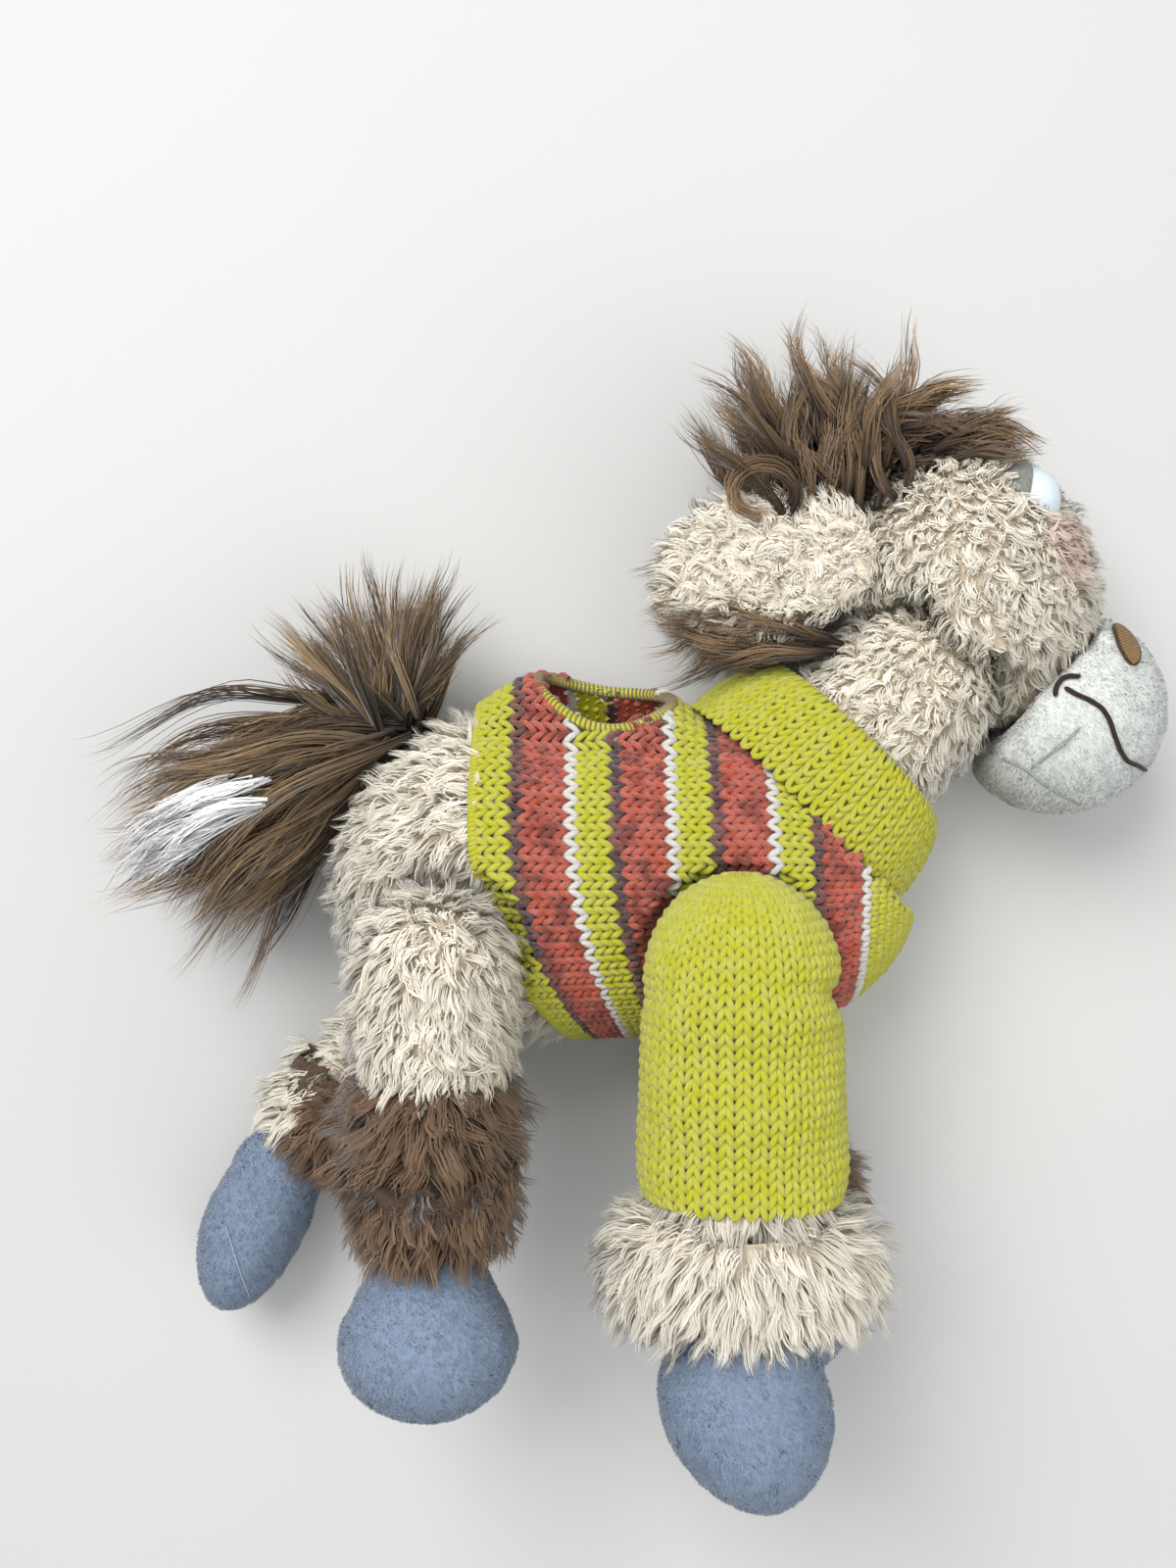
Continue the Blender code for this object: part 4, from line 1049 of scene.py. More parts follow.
CUFF_VOXEL, CUFF_IN, REAR_CUFF_IN = 0.003, -0.0035, -0.0052  # the cuffs' forms lie inside their nodes
REAR_TOP_PILE = 0.0155
SLEEVE_LAP, CUFF_LAP = 0.004, 0.012  # how far the pile above a cuff reaches into sleeve and cuff


class HORSE_OT_cuffs(bpy.types.Operator):
    """Shaggy cuffs round the ankles"""

    bl_idname = "horse.cuffs"
    bl_label = "Cuffs"

    def execute(self, context):
        f = context.scene.horse_fur
        brown = hair_finish("brown_pile", tuple(f.brown_root), tuple(f.brown_tip))
        cream = hair_finish("cream_cuff_pile", tuple(f.cream_root), tuple(f.cream_tip), tones=CREAM_TONES)
        for leg, spec in LEGS.items():
            node, body = leg + "_cuff", leg + "_leg"
            rear, down = leg in BROWN_RISE, down_of(spec)
            root, tip, look = f.brown_root, f.brown_tip, brown
            if leg == "right_front":
                root, tip, look = f.cream_root, f.cream_tip, cream
            mesh = remeshed(node + "_form", joined_mesh([node]), CUFF_VOXEL,
                            REAR_CUFF_IN if rear else CUFF_IN)
            under = cloth_finish(node + "_backing", tuple(root), mixed(root, tip, 0.35))
            base = show(node + "_cloth", mesh, under, body, [node])
            pale = lambda at, out, leg=leg: pale_side(leg, at)
            shaggy = lambda at, out, leg=leg: ~pale_side(leg, at)
            coat(node + "_pile", base, body, look, 21, down_cuff(spec),
                 f.rear_cuff_pile if rear else f.cuff_pile, f.spacing, lean=0.78, clump=0.090, curl=0.0009,
                 levels=6, wild=0.18, keep=shaggy)
            if leg in PALE_SIDE:
                coat(node + "_pale_pile", base, body, cream, 23, toward(down), f.pile,
                     f.spacing, lean=0.80, wild=0.18, keep=pale)
            high = -spec["sleeve"] + SLEEVE_LAP if spec["sleeve"] else brown_from(leg)
            band = lambda at, out, leg=leg, low=-spec["cuff"] - CUFF_LAP, high=high: (
                (to_leg(LEGS[leg], at)[1] < high) & (to_leg(LEGS[leg], at)[1] > low) & ~pale_side(leg, at))
            coat(node + "_top_pile", base_of(leg + "_leg_plush"), body, look, 22, toward(down),
                 REAR_TOP_PILE if rear else f.cuff_pile, f.spacing, lean=0.62 if rear else 0.50, clump=0.075,
                 curl=0.0009, levels=6, wild=0.26 if rear else 0.16, keep=band)
        return {"FINISHED"}


PHOTO_MIDDLE, FOCAL_PIXELS = (600, 800), 1500
THREAD_STEPS, THREAD_SIDES = 6, 8


def seen_at(tree, px, py):
    """Where the camera's ray through a pixel of the photo meets a surface, and the way out of it."""
    at = Vector(bpy.context.scene.horse_stage.camera_at)
    right, up = (px - PHOTO_MIDDLE[0]) / FOCAL_PIXELS, (PHOTO_MIDDLE[1] - py) / FOCAL_PIXELS
    return tree.ray_cast(at, Vector((right, up, -1)).normalized())[:2]


def thread_line(name, tree, pixels, radius, material, body, replaces=(), mirror=False, raise_by=0.5):
    """A thread laid on a surface along pixels of the photo, and again on the other side if mirrored."""
    fine = []
    for a, b in zip(pixels, pixels[1:]):
        for k in range(THREAD_STEPS):
            fine.append(tuple(x + (y - x) * k / THREAD_STEPS for x, y in zip(a, b)))
    fine.append(pixels[-1])
    hits = [(h, n) for h, n in (seen_at(tree, *p) for p in fine) if h is not None]
    at = np.array([h + n * radius * raise_by for h, n in hits])
    for _ in range(3):
        at[1:-1] = (at[:-2] + at[1:-1] * 2 + at[2:]) / 4
    out = np.array([n for h, n in hits])
    lines, ways = [at], [out]
    if mirror:
        lines.append(at * (1, 1, -1) + (0, 0, 2 * middle()))
        ways.append(out * (1, 1, -1))
    taper = radius * np.clip(np.minimum(np.arange(len(at)), np.arange(len(at))[::-1]) / 2 + 0.4, 0, 1)
    mesh = tubes(name, np.array(lines), np.array(ways), np.tile(taper, (len(lines), 1)), THREAD_SIDES)
    show(name, mesh, material, body, replaces)


# Threads and the nostril, in pixels of the photo
HOOF_SEAM = [(231, 1248), (243, 1290), (254, 1322)]
MOUTH = [(1086, 702), (1098, 709), (1110, 714), (1123, 722), (1131, 734), (1136, 750), (1142, 766),
         (1149, 776), (1160, 780), (1169, 786)]
MOUTH_CORNER = [(1077, 711), (1078, 702), (1083, 695), (1091, 691), (1102, 691)]
JAW_SEAM = [(990, 748), (1010, 764), (1032, 777), (1050, 785), (1062, 797), (1080, 808), (1105, 822)]
DART_SEAM = [(1052, 784), (1067, 772), (1086, 758), (1102, 742)]
NOSTRIL = (1149, 657)

MOUTH_YARN, CORNER_YARN, SEAM_YARN, HOOF_YARN = 0.00075, 0.00080, 0.00040, 0.00028  # radii
NOSTRIL_UP, NOSTRIL_ACROSS = Vector((-0.22, 0.97, 0)), Vector((0.97, 0.22, 0))
NOSTRIL_WIDE, NOSTRIL_TALL, PATCH_WIDE, PATCH_TALL = 0.0034, 0.0062, 0.0032, 0.0056  # each from the middle
EDGE_YARN, PATCH_YARN, EDGE_LIFT, PATCH_LIFT, PATCH_SLANT = 0.00055, 0.00042, 0.0010, 0.0012, 0.0004
PATCH_ROWS, PATCH_STEPS, EDGE_STEPS = 17, 7, 33


class HORSE_OT_hooves(bpy.types.Operator):
    """Blue-grey nap on the hooves, and a seam on the left rear hoof"""

    bl_idname = "horse.hooves"
    bl_label = "Hooves"

    def execute(self, context):
        f = context.scene.horse_fur
        blue = hair_finish("blue_nap", tuple(f.blue_root), tuple(f.blue_tip), roughness=0.85,
                           tones=(0.88, 1.12))
        for number, leg in enumerate(LEGS):
            hoof = leg + "_hoof"
            nap(hoof + "_nap", base_of(hoof + "_plush"), hoof, hoof + "_skin", blue, 31 + number)
        pale = cloth_finish("hoof_seam", mixed(f.blue_tip, LIGHT, 0.02), mixed(f.blue_tip, LIGHT, 0.18))
        tree = tree_of(base_of("left_rear_hoof_plush"))
        thread_line("left_rear_hoof_seam", tree, HOOF_SEAM, HOOF_YARN, pale, "left_rear_hoof",
                    raise_by=2.2)
        return {"FINISHED"}


class HORSE_OT_muzzle(bpy.types.Operator):
    """Grey nap on the muzzle, its seams, mouth and nostrils"""

    bl_idname = "horse.muzzle"
    bl_label = "Muzzle"

    def execute(self, context):
        f = context.scene.horse_fur
        base = base_of("muzzle_plush")
        grey = hair_finish("grey_nap", tuple(f.grey_root), tuple(f.grey_tip), roughness=0.85,
                           tones=(0.82, 1.16))
        nap("muzzle_nap", base, "head", "muzzle_skin", grey, 41)
        tree = tree_of(base)
        dark = cloth_finish("mouth_thread", (0.018, 0.012, 0.010), (0.045, 0.030, 0.024), 1800)
        # The seam threads are the muzzle's grey darkened: painted shade in the seams' grooves.
        seam = cloth_finish("seam_thread", mixed(f.grey_root, DARK, 0.65), mixed(f.grey_root, DARK, 0.4))
        thread_line("mouth", tree, MOUTH, MOUTH_YARN, dark, "head", ["mouth_thread"],
                    True, 1.2)
        thread_line("mouth_corner", tree, MOUTH_CORNER, CORNER_YARN, dark, "head", (),
                    True, 1.2)
        thread_line("jaw_seam", tree, JAW_SEAM, SEAM_YARN, seam, "head", (), True, 1.4)
        thread_line("dart_seam", tree, DART_SEAM, SEAM_YARN, seam, "head", (), True, 1.4)
        self.nostrils(tree)
        return {"FINISHED"}

    def nostrils(self, tree):
        """Oval patches of satin stitches with a dark edge."""
        patch = cloth_finish("nostril_thread", (0.20, 0.125, 0.045), (0.33, 0.21, 0.085), 1600)
        edge = cloth_finish("nostril_edge", (0.035, 0.018, 0.008), (0.10, 0.055, 0.022), 1800)
        centre, out = seen_at(tree, *NOSTRIL)
        up, across = (v - Vector((0, 0, v.dot(out) / out.z)) for v in (NOSTRIL_UP, NOSTRIL_ACROSS))

        def on(a, b, lift):
            """A point across and up from the nostril's middle, lifted off the muzzle."""
            hit, normal = tree.find_nearest(centre + across * a + up * b)[:2]
            return np.array(hit + normal * lift)

        turn = np.linspace(0, 2 * math.pi, EDGE_STEPS)
        ring = [on(NOSTRIL_WIDE * math.cos(a), NOSTRIL_TALL * math.sin(a), EDGE_LIFT) for a in turn]
        rows = []
        for b in np.linspace(-PATCH_TALL, PATCH_TALL, PATCH_ROWS):
            half = PATCH_WIDE * math.sqrt(1 - (b / NOSTRIL_TALL) ** 2)
            across_row = np.linspace(-1, 1, PATCH_STEPS)
            rows.append([on(half * t, b + PATCH_SLANT * t, PATCH_LIFT) for t in across_row])
        for side, node in ((1, "right_nostril"), (-1, "left_nostril")):
            flip, over = np.array((1, 1, side)), np.array((0, 0, middle() * (1 - side)))
            ways = np.array(out) * flip
            rim = tubes("edge", np.array([ring]) * flip + over, np.tile(ways, (1, EDGE_STEPS, 1)), EDGE_YARN)
            show(node + "_edge", rim, edge, "head", [node])
            satin = tubes("rows", np.array(rows) * flip + over, np.tile(ways, (PATCH_ROWS, PATCH_STEPS, 1)),
                          PATCH_YARN)
            show(node + "_stitches", satin, patch, "head")


DOME_RADIUS, LID_RADIUS, LID_ROLL = 0.0108, 0.0124, 0.0010
LID_END, LID_ROLL_FROM, LID_ROLL_OVER = 1.50, 1.38, 0.12  # angles from the lid's middle
POLE = 1.5707  # nearly a quarter turn
LID_NAP, LID_NAP_WIDTH, LID_NAP_SPACING = 0.0010, 0.00025, 0.0005


class HORSE_OT_eyes(bpy.types.Operator):
    """White eye domes with napped lids"""

    bl_idname = "horse.eyes"
    bl_label = "Eyes"

    def execute(self, context):
        b = body_sizes()
        white = cloth_finish("eye_white", (0.62, 0.71, 0.77), (0.74, 0.83, 0.89), 1500, 0.08, 0.55)
        lid = cloth_finish("lid_cloth", (0.16, 0.165, 0.145), (0.27, 0.28, 0.24), 1500, 0.5, 0.9)
        nap_look = hair_finish("lid_nap", (0.15, 0.155, 0.135), (0.29, 0.295, 0.26))
        centre = Vector(b.head_centre) + Vector((EYE_AT[0], EYE_AT[1], 0))
        for name, side in (("right", 1), ("left", -1)):
            at = np.array(centre + Vector((0, 0, EYE_AT[2] * side)))
            turn, rise = np.meshgrid(np.linspace(0, 2 * math.pi, 48, endpoint=False),
                                     np.linspace(-POLE, POLE, 25))
            way = np.stack([np.cos(turn) * np.cos(rise), np.sin(rise), np.sin(turn) * np.cos(rise)], axis=-1)
            dome = grid_mesh(name + "_dome", at + way * DOME_RADIUS)
            show(name + "_eye_dome", dome, white, "head", [name + "_eye"])
            back = unit(np.array((-1, 0.22, -0.05 * side)))
            first = unit(np.cross(back, (0, 1, 0)))
            second = np.cross(back, first)
            tilt, swing = np.meshgrid(np.linspace(0.0, LID_END, 18),
                                      np.linspace(0, 2 * math.pi, 48, endpoint=False), indexing="ij")
            shell = (np.cos(tilt)[..., None] * back + np.sin(tilt)[..., None]
                     * (np.cos(swing)[..., None] * first + np.sin(swing)[..., None] * second))
            size = LID_RADIUS - LID_ROLL * np.clip((tilt - LID_ROLL_FROM) / LID_ROLL_OVER, 0, 1)
            cover = show(name + "_lid", grid_mesh(name + "_lid", at + shell * size[..., None]), lid, "head",
                         [name + "_eyelid"])
            self.lid_nap(name, cover, nap_look)
        return {"FINISHED"}

    def lid_nap(self, name, cover, look):
        rng = np.random.default_rng(51)
        at, out = sampled(cover, LID_NAP_SPACING, rng)
        down = np.tile((0.0, -1.0, 0.0), (len(at), 1))
        paths, tones = pile_paths(at, out, down, rng, LID_NAP, 0.4, 0.05, 0, 3, 0.3)
        facing = unit(out + rng.normal(size=at.shape) * 0.4)
        bent = unit(out + rng.normal(size=at.shape) * 0.15)
        widths = np.full(len(at), LID_NAP_WIDTH)
        for mesh in strands(name + "_lid_nap", paths, widths, facing, tones, bent):
            show(mesh.name, mesh, look, "head")


# Mane and tail


LOCK_TURNS, STRAY = 1.2, 0.0018


def round_way(angle, e1, e2):
    """Ways at angles round an axis, between two ways across it."""
    return np.cos(angle)[..., None] * e1 + np.sin(angle)[..., None] * e2


def locks(name, body, slot, material, seed, roots, first, last, sizes, spread, replaces, each, wave=0.003,
          levels=9, loose=0.30, ragged=0.0):
    """Long hair in locks: each lock's hairs leave its root, spread and come together at its tip."""
    rng = np.random.default_rng(seed)
    count = len(roots)
    t = np.linspace(0, 1, levels)
    first, last = unit(first), unit(last)
    size = sizes[:, None, None]
    early, late = (t - t * t / 2)[None, :, None], (t * t / 2)[None, :, None]
    guide = roots[:, None] + size * (first[:, None] * early + last[:, None] * late)
    e1 = unit(np.cross(first, np.tile((0.1, 0.2, 1.0), (count, 1))))
    e2 = np.cross(first, e1)
    phase = rng.random((count, 1)) * 2 * math.pi
    swing = wave * (sizes[:, None] / 0.05) * t[None] ** 0.8
    angle = phase + t[None] * LOCK_TURNS * 2 * math.pi * (0.7 + 0.6 * rng.random((count, 1)))
    guide = guide + (swing * np.cos(angle))[..., None] * e1[:, None]
    guide = guide + (swing * np.sin(angle))[..., None] * e2[:, None]
    owner = np.repeat(np.arange(count), each)
    n = len(owner)
    disk = np.sqrt(rng.random(n)), rng.random(n) * 2 * math.pi
    belly = 0.35 + 0.75 * np.sin(math.pi * np.clip(t * 0.95 + 0.05, 0, 1)) ** 0.8
    wide = spread[owner][:, None] * belly[None]
    wide = wide * (disk[0])[:, None] * np.clip((1 - t) * 3, loose, 1)[None]
    twist = disk[1][:, None] + t[None] * 2.2 * (0.5 + rng.random((n, 1)))
    reach = (0.72 + 0.30 * rng.random(n))
    path = guide[owner]
    start = ragged * rng.random(n) if ragged else np.zeros(n)
    index = np.clip(start[:, None] + (reach - start)[:, None] * t[None], 0, 1) * (levels - 1)
    low = np.minimum(index.astype(int), levels - 2)
    f = (index - low)[..., None]
    rows = np.arange(n)[:, None]
    path = path[rows, low] * (1 - f) + path[rows, low + 1] * f
    path = path + wide[..., None] * round_way(twist, e1[owner][:, None], e2[owner][:, None])
    path = path + rng.normal(size=(n, 1, 3)) * STRAY * t[None, :, None] ** 1.5
    tones = np.clip(0.5 + 0.25 * rng.normal(size=count)[owner] + 0.15 * rng.normal(size=n), 0, 1)
    facing = unit(rng.normal(size=(n, 3)) * 0.6 + UP)
    widths = bpy.context.scene.horse_hair.strand * (0.7 + 0.7 * rng.random(n))
    outward = unit(round_way(disk[1], e1[owner], e2[owner]) + UP * 0.9 + rng.normal(size=(n, 3)) * 0.25)
    for number, mesh in enumerate(strands(name, path, widths, facing, tones, outward)):
        show(mesh.name, mesh, material, body, () if number else replaces)


def spread_between(rng, count, low, high):
    return np.array(low) + (np.array(high) - np.array(low)) * rng.random((count, 3))


def flat_way(rng, count, low, high, rise):
    """Directions by their angle in the plane, in degrees, with a random rise."""
    a = np.radians(low + (high - low) * rng.random(count))
    z = rise[0] + (rise[1] - rise[0]) * rng.random(count)
    return np.stack([np.cos(a), np.sin(a), z], axis=1)


def scatter(rng, count, low, high):
    return low + (high - low) * rng.random(count)


def grown(rng, name, body, look, roots, slot, seed, first, last, sizes, spread, replaces, **how):
    """Locks from these roots, their ways, lengths and widths drawn between limits."""
    count = len(roots)
    locks(name, body, slot, look, seed, roots, flat_way(rng, count, *first), flat_way(rng, count, *last),
          scatter(rng, count, *sizes), scatter(rng, count, *spread), replaces, **how)


# For each part of the mane: how many locks, the corners of the box that holds their roots, and how they grow.
# Ways are two angles in the plane, in degrees, and the rise between two limits.
MANE = {
    "forelock_hair": (120, (0.066, 0.124, 0.020), (0.100, 0.134, 0.066), {
        "slot": "forelock", "seed": 62, "first": (10, 80, (-0.2, 0.5)), "last": (-50, 10, (-0.3, 0.4)),
        "sizes": (0.022, 0.040), "spread": (0.0014, 0.0028), "replaces": ["forelock"], "each": 34}),
    "crest_hair": (190, (0.046, 0.106, 0.016), (0.084, 0.134, 0.070), {
        "slot": "mane_crest", "seed": 63, "first": (80, 160, (-0.3, 0.5)), "last": (50, 150, (-0.4, 0.4)),
        "sizes": (0.022, 0.050), "spread": (0.0012, 0.0026), "replaces": ["mane_crest"], "each": 32}),
    "nape_hair": (80, (0.040, 0.086, 0.016), (0.066, 0.112, 0.066), {
        "slot": "mane_nape", "seed": 64, "first": (150, 230, (-0.3, 0.3)), "last": (180, 240, (-0.4, 0.2)),
        "sizes": (0.024, 0.046), "spread": (0.0016, 0.0030), "replaces": ["mane_nape"], "each": 34}),
    "nape_tufts": (30, (0.044, 0.069, 0.052), (0.064, 0.084, 0.068), {
        "slot": "mane_nape", "seed": 65, "first": (150, 200, (0.0, 0.4)), "last": (165, 203, (-0.2, 0.2)),
        "sizes": (0.024, 0.048), "spread": (0.0012, 0.0024), "replaces": (), "each": 30}),
}
LOOP_AT, LOOP_HAIRS, LOOP_LEVELS = (0.0380, 0.1150, 0.0740), 60, 14
LOOP_FROM, LOOP_TO = (-0.6, 0.0105), (5.2, 0.0075)  # the angle and the radius at each end
LOOP_RISE, LOOP_ASIDE = 0.0015, 0.0009


class HORSE_OT_mane(bpy.types.Operator):
    """Forelock, crest and neck tufts of the mane"""

    bl_idname = "horse.mane"
    bl_label = "Mane"

    def execute(self, context):
        h = context.scene.horse_hair
        look = hair_finish("mane_hair", tuple(h.root), tuple(h.tip), 0.62, 0.55, tones=(0.45, 1.55))
        rng = np.random.default_rng(61)
        for name, (count, low, high, how) in MANE.items():
            grown(rng, name, "head", look, spread_between(rng, count, low, high), **how)
        self.loop(look)
        return {"FINISHED"}

    def loop(self, look):
        """One lock that curls round on itself above the ear."""
        rng = np.random.default_rng(66)
        n = LOOP_HAIRS
        turn, size = (np.linspace(a, b, LOOP_LEVELS) for a, b in zip(LOOP_FROM, LOOP_TO))
        guide = np.stack([size * np.cos(turn), 0.8 * size * np.sin(turn), LOOP_RISE * np.sin(turn)], axis=1)
        aside = rng.normal(size=(n, 1, 3)) * LOOP_ASIDE
        path = np.array(LOOP_AT) + guide[None] * (1 + 0.06 * rng.normal(size=(n, 1, 1))) + aside
        tones = np.clip(0.5 + 0.25 * rng.normal(size=n), 0, 1)
        widths = bpy.context.scene.horse_hair.strand * (0.7 + 0.7 * rng.random(n))
        facing = unit(rng.normal(size=(n, 3)) * 0.6 + UP)
        bent = unit(UP + rng.normal(size=(n, 3)) * 0.35)
        for mesh in strands("mane_loop", path, widths, facing, tones, bent):
            show(mesh.name, mesh, look, "head")


TAIL_LOCKS, TAIL_ROOTS = 200, (0.0035, 0.0035, 0.0060)
TUFT_LOCKS, TUFT_ROOTS, TUFT_BEND = 84, (0.0050, 0.0040, 0.0060), 0.16
WHITE_LOCKS, WHITE_ROOTS = 16, ((-0.120, 0.020, 0.055), (-0.106, 0.033, 0.065))


class HORSE_OT_tail(bpy.types.Operator):
    """Long tail hair, its upward tuft and its white tip"""

    bl_idname = "horse.tail"
    bl_label = "Tail"

    def execute(self, context):
        h, b = context.scene.horse_hair, body_sizes()
        look = hair_finish("tail_hair", tuple(h.root), tuple(h.tail_tip), 0.75, 0.55, tones=(0.25, 1.45))
        white = hair_finish("tail_white", tuple(h.white_root), tuple(h.white_tip), 0.4, 0.6)
        rng = np.random.default_rng(71)
        centre = np.array(b.tail_centre)
        roots = centre + rng.normal(size=(TAIL_LOCKS, 3)) * TAIL_ROOTS
        grown(rng, "tail_hair", "tail", look, roots, "tail_lock", 72, (165, 232, (-0.30, 0.34)),
              (200, 246, (-0.30, 0.16)), (0.060, 0.106), (0.0018, 0.0036), ["tail_lock", "tail_root"],
              each=38, levels=12, wave=0.0022, loose=0.14)
        n = TUFT_LOCKS
        roots = centre + rng.normal(size=(n, 3)) * TUFT_ROOTS
        ways = flat_way(rng, n, 50, 150, (-0.3, 0.5))
        bent = ways + rng.normal(size=(n, 3)) * TUFT_BEND
        locks("tail_tuft_hair", "tail", "tail_tuft", look, 73, roots, ways, bent,
              scatter(rng, n, 0.030, 0.056), scatter(rng, n, 0.0010, 0.0024), ["tail_tuft"], each=30,
              wave=0.0014, loose=0.12)
        grown(rng, "tail_white_hair", "tail", white, spread_between(rng, WHITE_LOCKS, *WHITE_ROOTS),
              "tail_white_tip", 74, (182, 202, (-0.05, 0.15)), (204, 236, (-0.25, 0.05)), (0.034, 0.048),
              (0.0020, 0.0034), ["tail_white_tip"], each=60, wave=0.0012, loose=0.15, ragged=0.55)
        return {"FINISHED"}


# Sweater

STRIPES = ("lime", "lime", "lime", "brown", "coral", "coral", "coral", "coral", "white")
STRIPED = 36  # the rows before the chest, which is lime
SWEATER_ROWS, SLANTED_ROWS, SWEATER_FLAT = 49, 38.0, (0.290, 0.125)
KNIT_OUT = 0.0023  # from the torso's cloth to the middle of the yarn
PROFILE_STEPS, TORSO_END = 400, 1e-5
FOLD_DEEP, FOLDS = 0.0011, 180  # the folds' depth, and how fast they follow one another along the torso
SWEATER_SINK, COLLAR_SINK, SLEEVE_SINK = 0.0010, 0.0012, 0.0008  # from the yarn's middle to its sheet
YARN_COLOURS = ("lime", "coral", "brown", "white")
FLECKS = {"coral": (0.16, 0.035, 0.028), "brown": (0.26, 0.10, 0.085)}
FUZZ_APART = {"lime": 0.0030, "coral": 0.0011, "brown": 0.0011, "white": 0.0030}
SWEATER_FUZZ, PLAIN_FUZZ = 0.0030, 0.0022  # lengths
WHIP_COLOUR = (0.30, 0.20, 0.10)


def yarns():
    """The yarns' finishes, made once."""
    k = bpy.context.scene.horse_knit
    looks = {}
    for name in YARN_COLOURS:
        made = bpy.data.materials.get(name + "_yarn")
        looks[name] = made or yarn_finish(name + "_yarn", tuple(getattr(k, name)), FLECKS.get(name))
    return looks


# A backing's colour is its yarn darkened: painted shade between the stitches.
def shaded_backing_finish(name, look):
    return bpy.data.materials.get(name) or cloth_finish(name, mixed(look, DARK, 0.65), mixed(look, DARK, 0.4))


def spaced(places, radii, distance):
    """The place at each distance along a profile."""
    steps = np.hypot(np.diff(places), np.diff(radii))
    so_far = np.concatenate([[0], np.cumsum(steps)])
    past = np.clip(distance, None, 0)
    return np.interp(distance, so_far, places) + past


def sweater_spot(u, v):
    """Where a stitch of the body lies, by its column and row."""
    k, b = bpy.context.scene.horse_knit, body_sizes()
    angle = np.asarray(u) / k.columns * 2 * math.pi
    y = 0.05 * np.cos(angle)  # about as high as the torso's surface
    chest = b.torso_length / 2 - TORSO_END
    along = np.linspace(HEM_X, chest, PROFILE_STEPS)
    slant = hem_shift(y) * np.clip(1 - v / SLANTED_ROWS, 0, 1) ** 2
    x = np.minimum(spaced(along, torso_radii(along)[0], k.pitch * v) + slant, chest)
    over = np.clip(np.cos(angle * 0.5) ** 2, 0, 1)
    fold = FOLD_DEEP * np.sin(x * FOLDS + 2.2 * np.sin(angle * 2)) * over
    return pressed(torso_point(x, angle, KNIT_OUT + fold, True), KNIT_PRESS)


SCOOP_ASIDE, SCOOP_SHOWN = 0.005, 0.029  # the opening's edge rolls a little to the side that faces up


NECK_HOLE = -0.0008  # where the body's stitches end, from the foot of the neck


def on_sweater(at):
    """Tells which points are short of the collar and outside the opening on the back."""
    b = body_sizes()
    short = (at - np.array(b.neck_foot)) @ NECK_AXIS < NECK_HOLE
    cx = b.torso_length * SCOOP_SHARE
    dx, dz = (at[..., 0] - cx) / (SCOOP_LENGTH / 2), (at[..., 2] - middle() - SCOOP_ASIDE) / (SCOOP_SHOWN / 2)
    return short & ~((dx**2 + dz**2 < 1) & (at[..., 1] > 0))


class HORSE_OT_sweater(bpy.types.Operator):
    """The striped knitted body and its overlocked opening"""

    bl_idname = "horse.sweater"
    bl_label = "Sweater"

    def execute(self, context):
        k, b = context.scene.horse_knit, body_sizes()
        c, r = np.meshgrid(np.arange(k.columns), np.arange(SWEATER_ROWS))
        c, r = c.ravel(), r.ravel()
        good = on_sweater(sweater_spot(c + 0.5, r + 0.5))
        c, r = c[good], r[good]
        looks = yarns()
        which = np.where(r < STRIPED, np.array(STRIPES)[r % len(STRIPES)], "lime")
        pieces = []
        for name, look in looks.items():
            chosen, tone = which == name, getattr(k, name)
            mesh = stitches("knit_" + name, sweater_spot, c[chosen], r[chosen], k.yarn, seed=81)
            pieces.append(show("sweater_" + name, mesh, look, "torso"))
            fur = hair_finish(name + "_fuzz", tuple(tone), mixed(tone, LIGHT, 0.06), 0.4, 0.8)
            pieces += fuzz("sweater_fuzz_" + name, mesh, "torso", fur, FUZZ_APART[name],
                           SWEATER_FUZZ, 82)
        sheet = backing("sweater_backing", sweater_spot, k.columns, SWEATER_ROWS, SWEATER_SINK, on_sweater)
        under = show("sweater_backing", sheet, self.inside(k), "torso", ["sweater_body"])
        self.rim(k, b, looks["lime"])
        return {"FINISHED"}

    def inside(self, k):
        """Stripes by the row number, for the cloth behind the stitches, each yarn darkened by half as painted
        shade.
        """
        material, nodes, links, shader = shader_of("sweater_inside", 0.9)
        parts = along_parts(nodes, links)
        striped = sum_of(nodes, links, "MINIMUM", parts.outputs["Y"], STRIPED + 0.1)
        repeats = sum_of(nodes, links, "DIVIDE", striped.outputs[0], len(STRIPES))
        part = sum_of(nodes, links, "FRACT", repeats.outputs[0])
        starts = [(STRIPES.index(name) / len(STRIPES), getattr(k, name)) for name in dict.fromkeys(STRIPES)]
        # Each yarn darkened by half: painted shade behind the stitches.
        ramp = ramp_of(nodes, [(at, mixed(look, DARK, 0.5)) for at, look in starts])
        ramp.color_ramp.interpolation = "CONSTANT"
        links.new(part.outputs[0], ramp.inputs[0])
        links.new(ramp.outputs[0], shader.inputs["Base Color"])
        return material

    def rim(self, k, b, look):
        """Yarn wound round the edge of the opening on the back, and along the hem."""
        cx = b.torso_length * SCOOP_SHARE
        a = np.linspace(0, 2 * math.pi, 97)
        x, z = cx + SCOOP_LENGTH / 2 * np.cos(a), middle() + SCOOP_ASIDE + SCOOP_SHOWN / 2 * np.sin(a)
        deep, wide = (radius + KNIT_OUT for radius in torso_radii(x))
        y = deep * np.sqrt(np.clip(1 - ((z - middle()) / wide) ** 2, 0, 1))
        line = np.stack([x, y + ridge_rise(x, y, z), z], axis=-1)
        whip = yarn_finish("whip_thread", WHIP_COLOUR)
        wound(line, "scoop_rim", look, whip, 0.0017, 0.00032, 90)
        u = np.linspace(0, k.columns, 160)
        wound(sweater_spot(u, np.zeros_like(u) - 0.1), "hem_rim", look, look, 0.0011, 0.0008, 230)


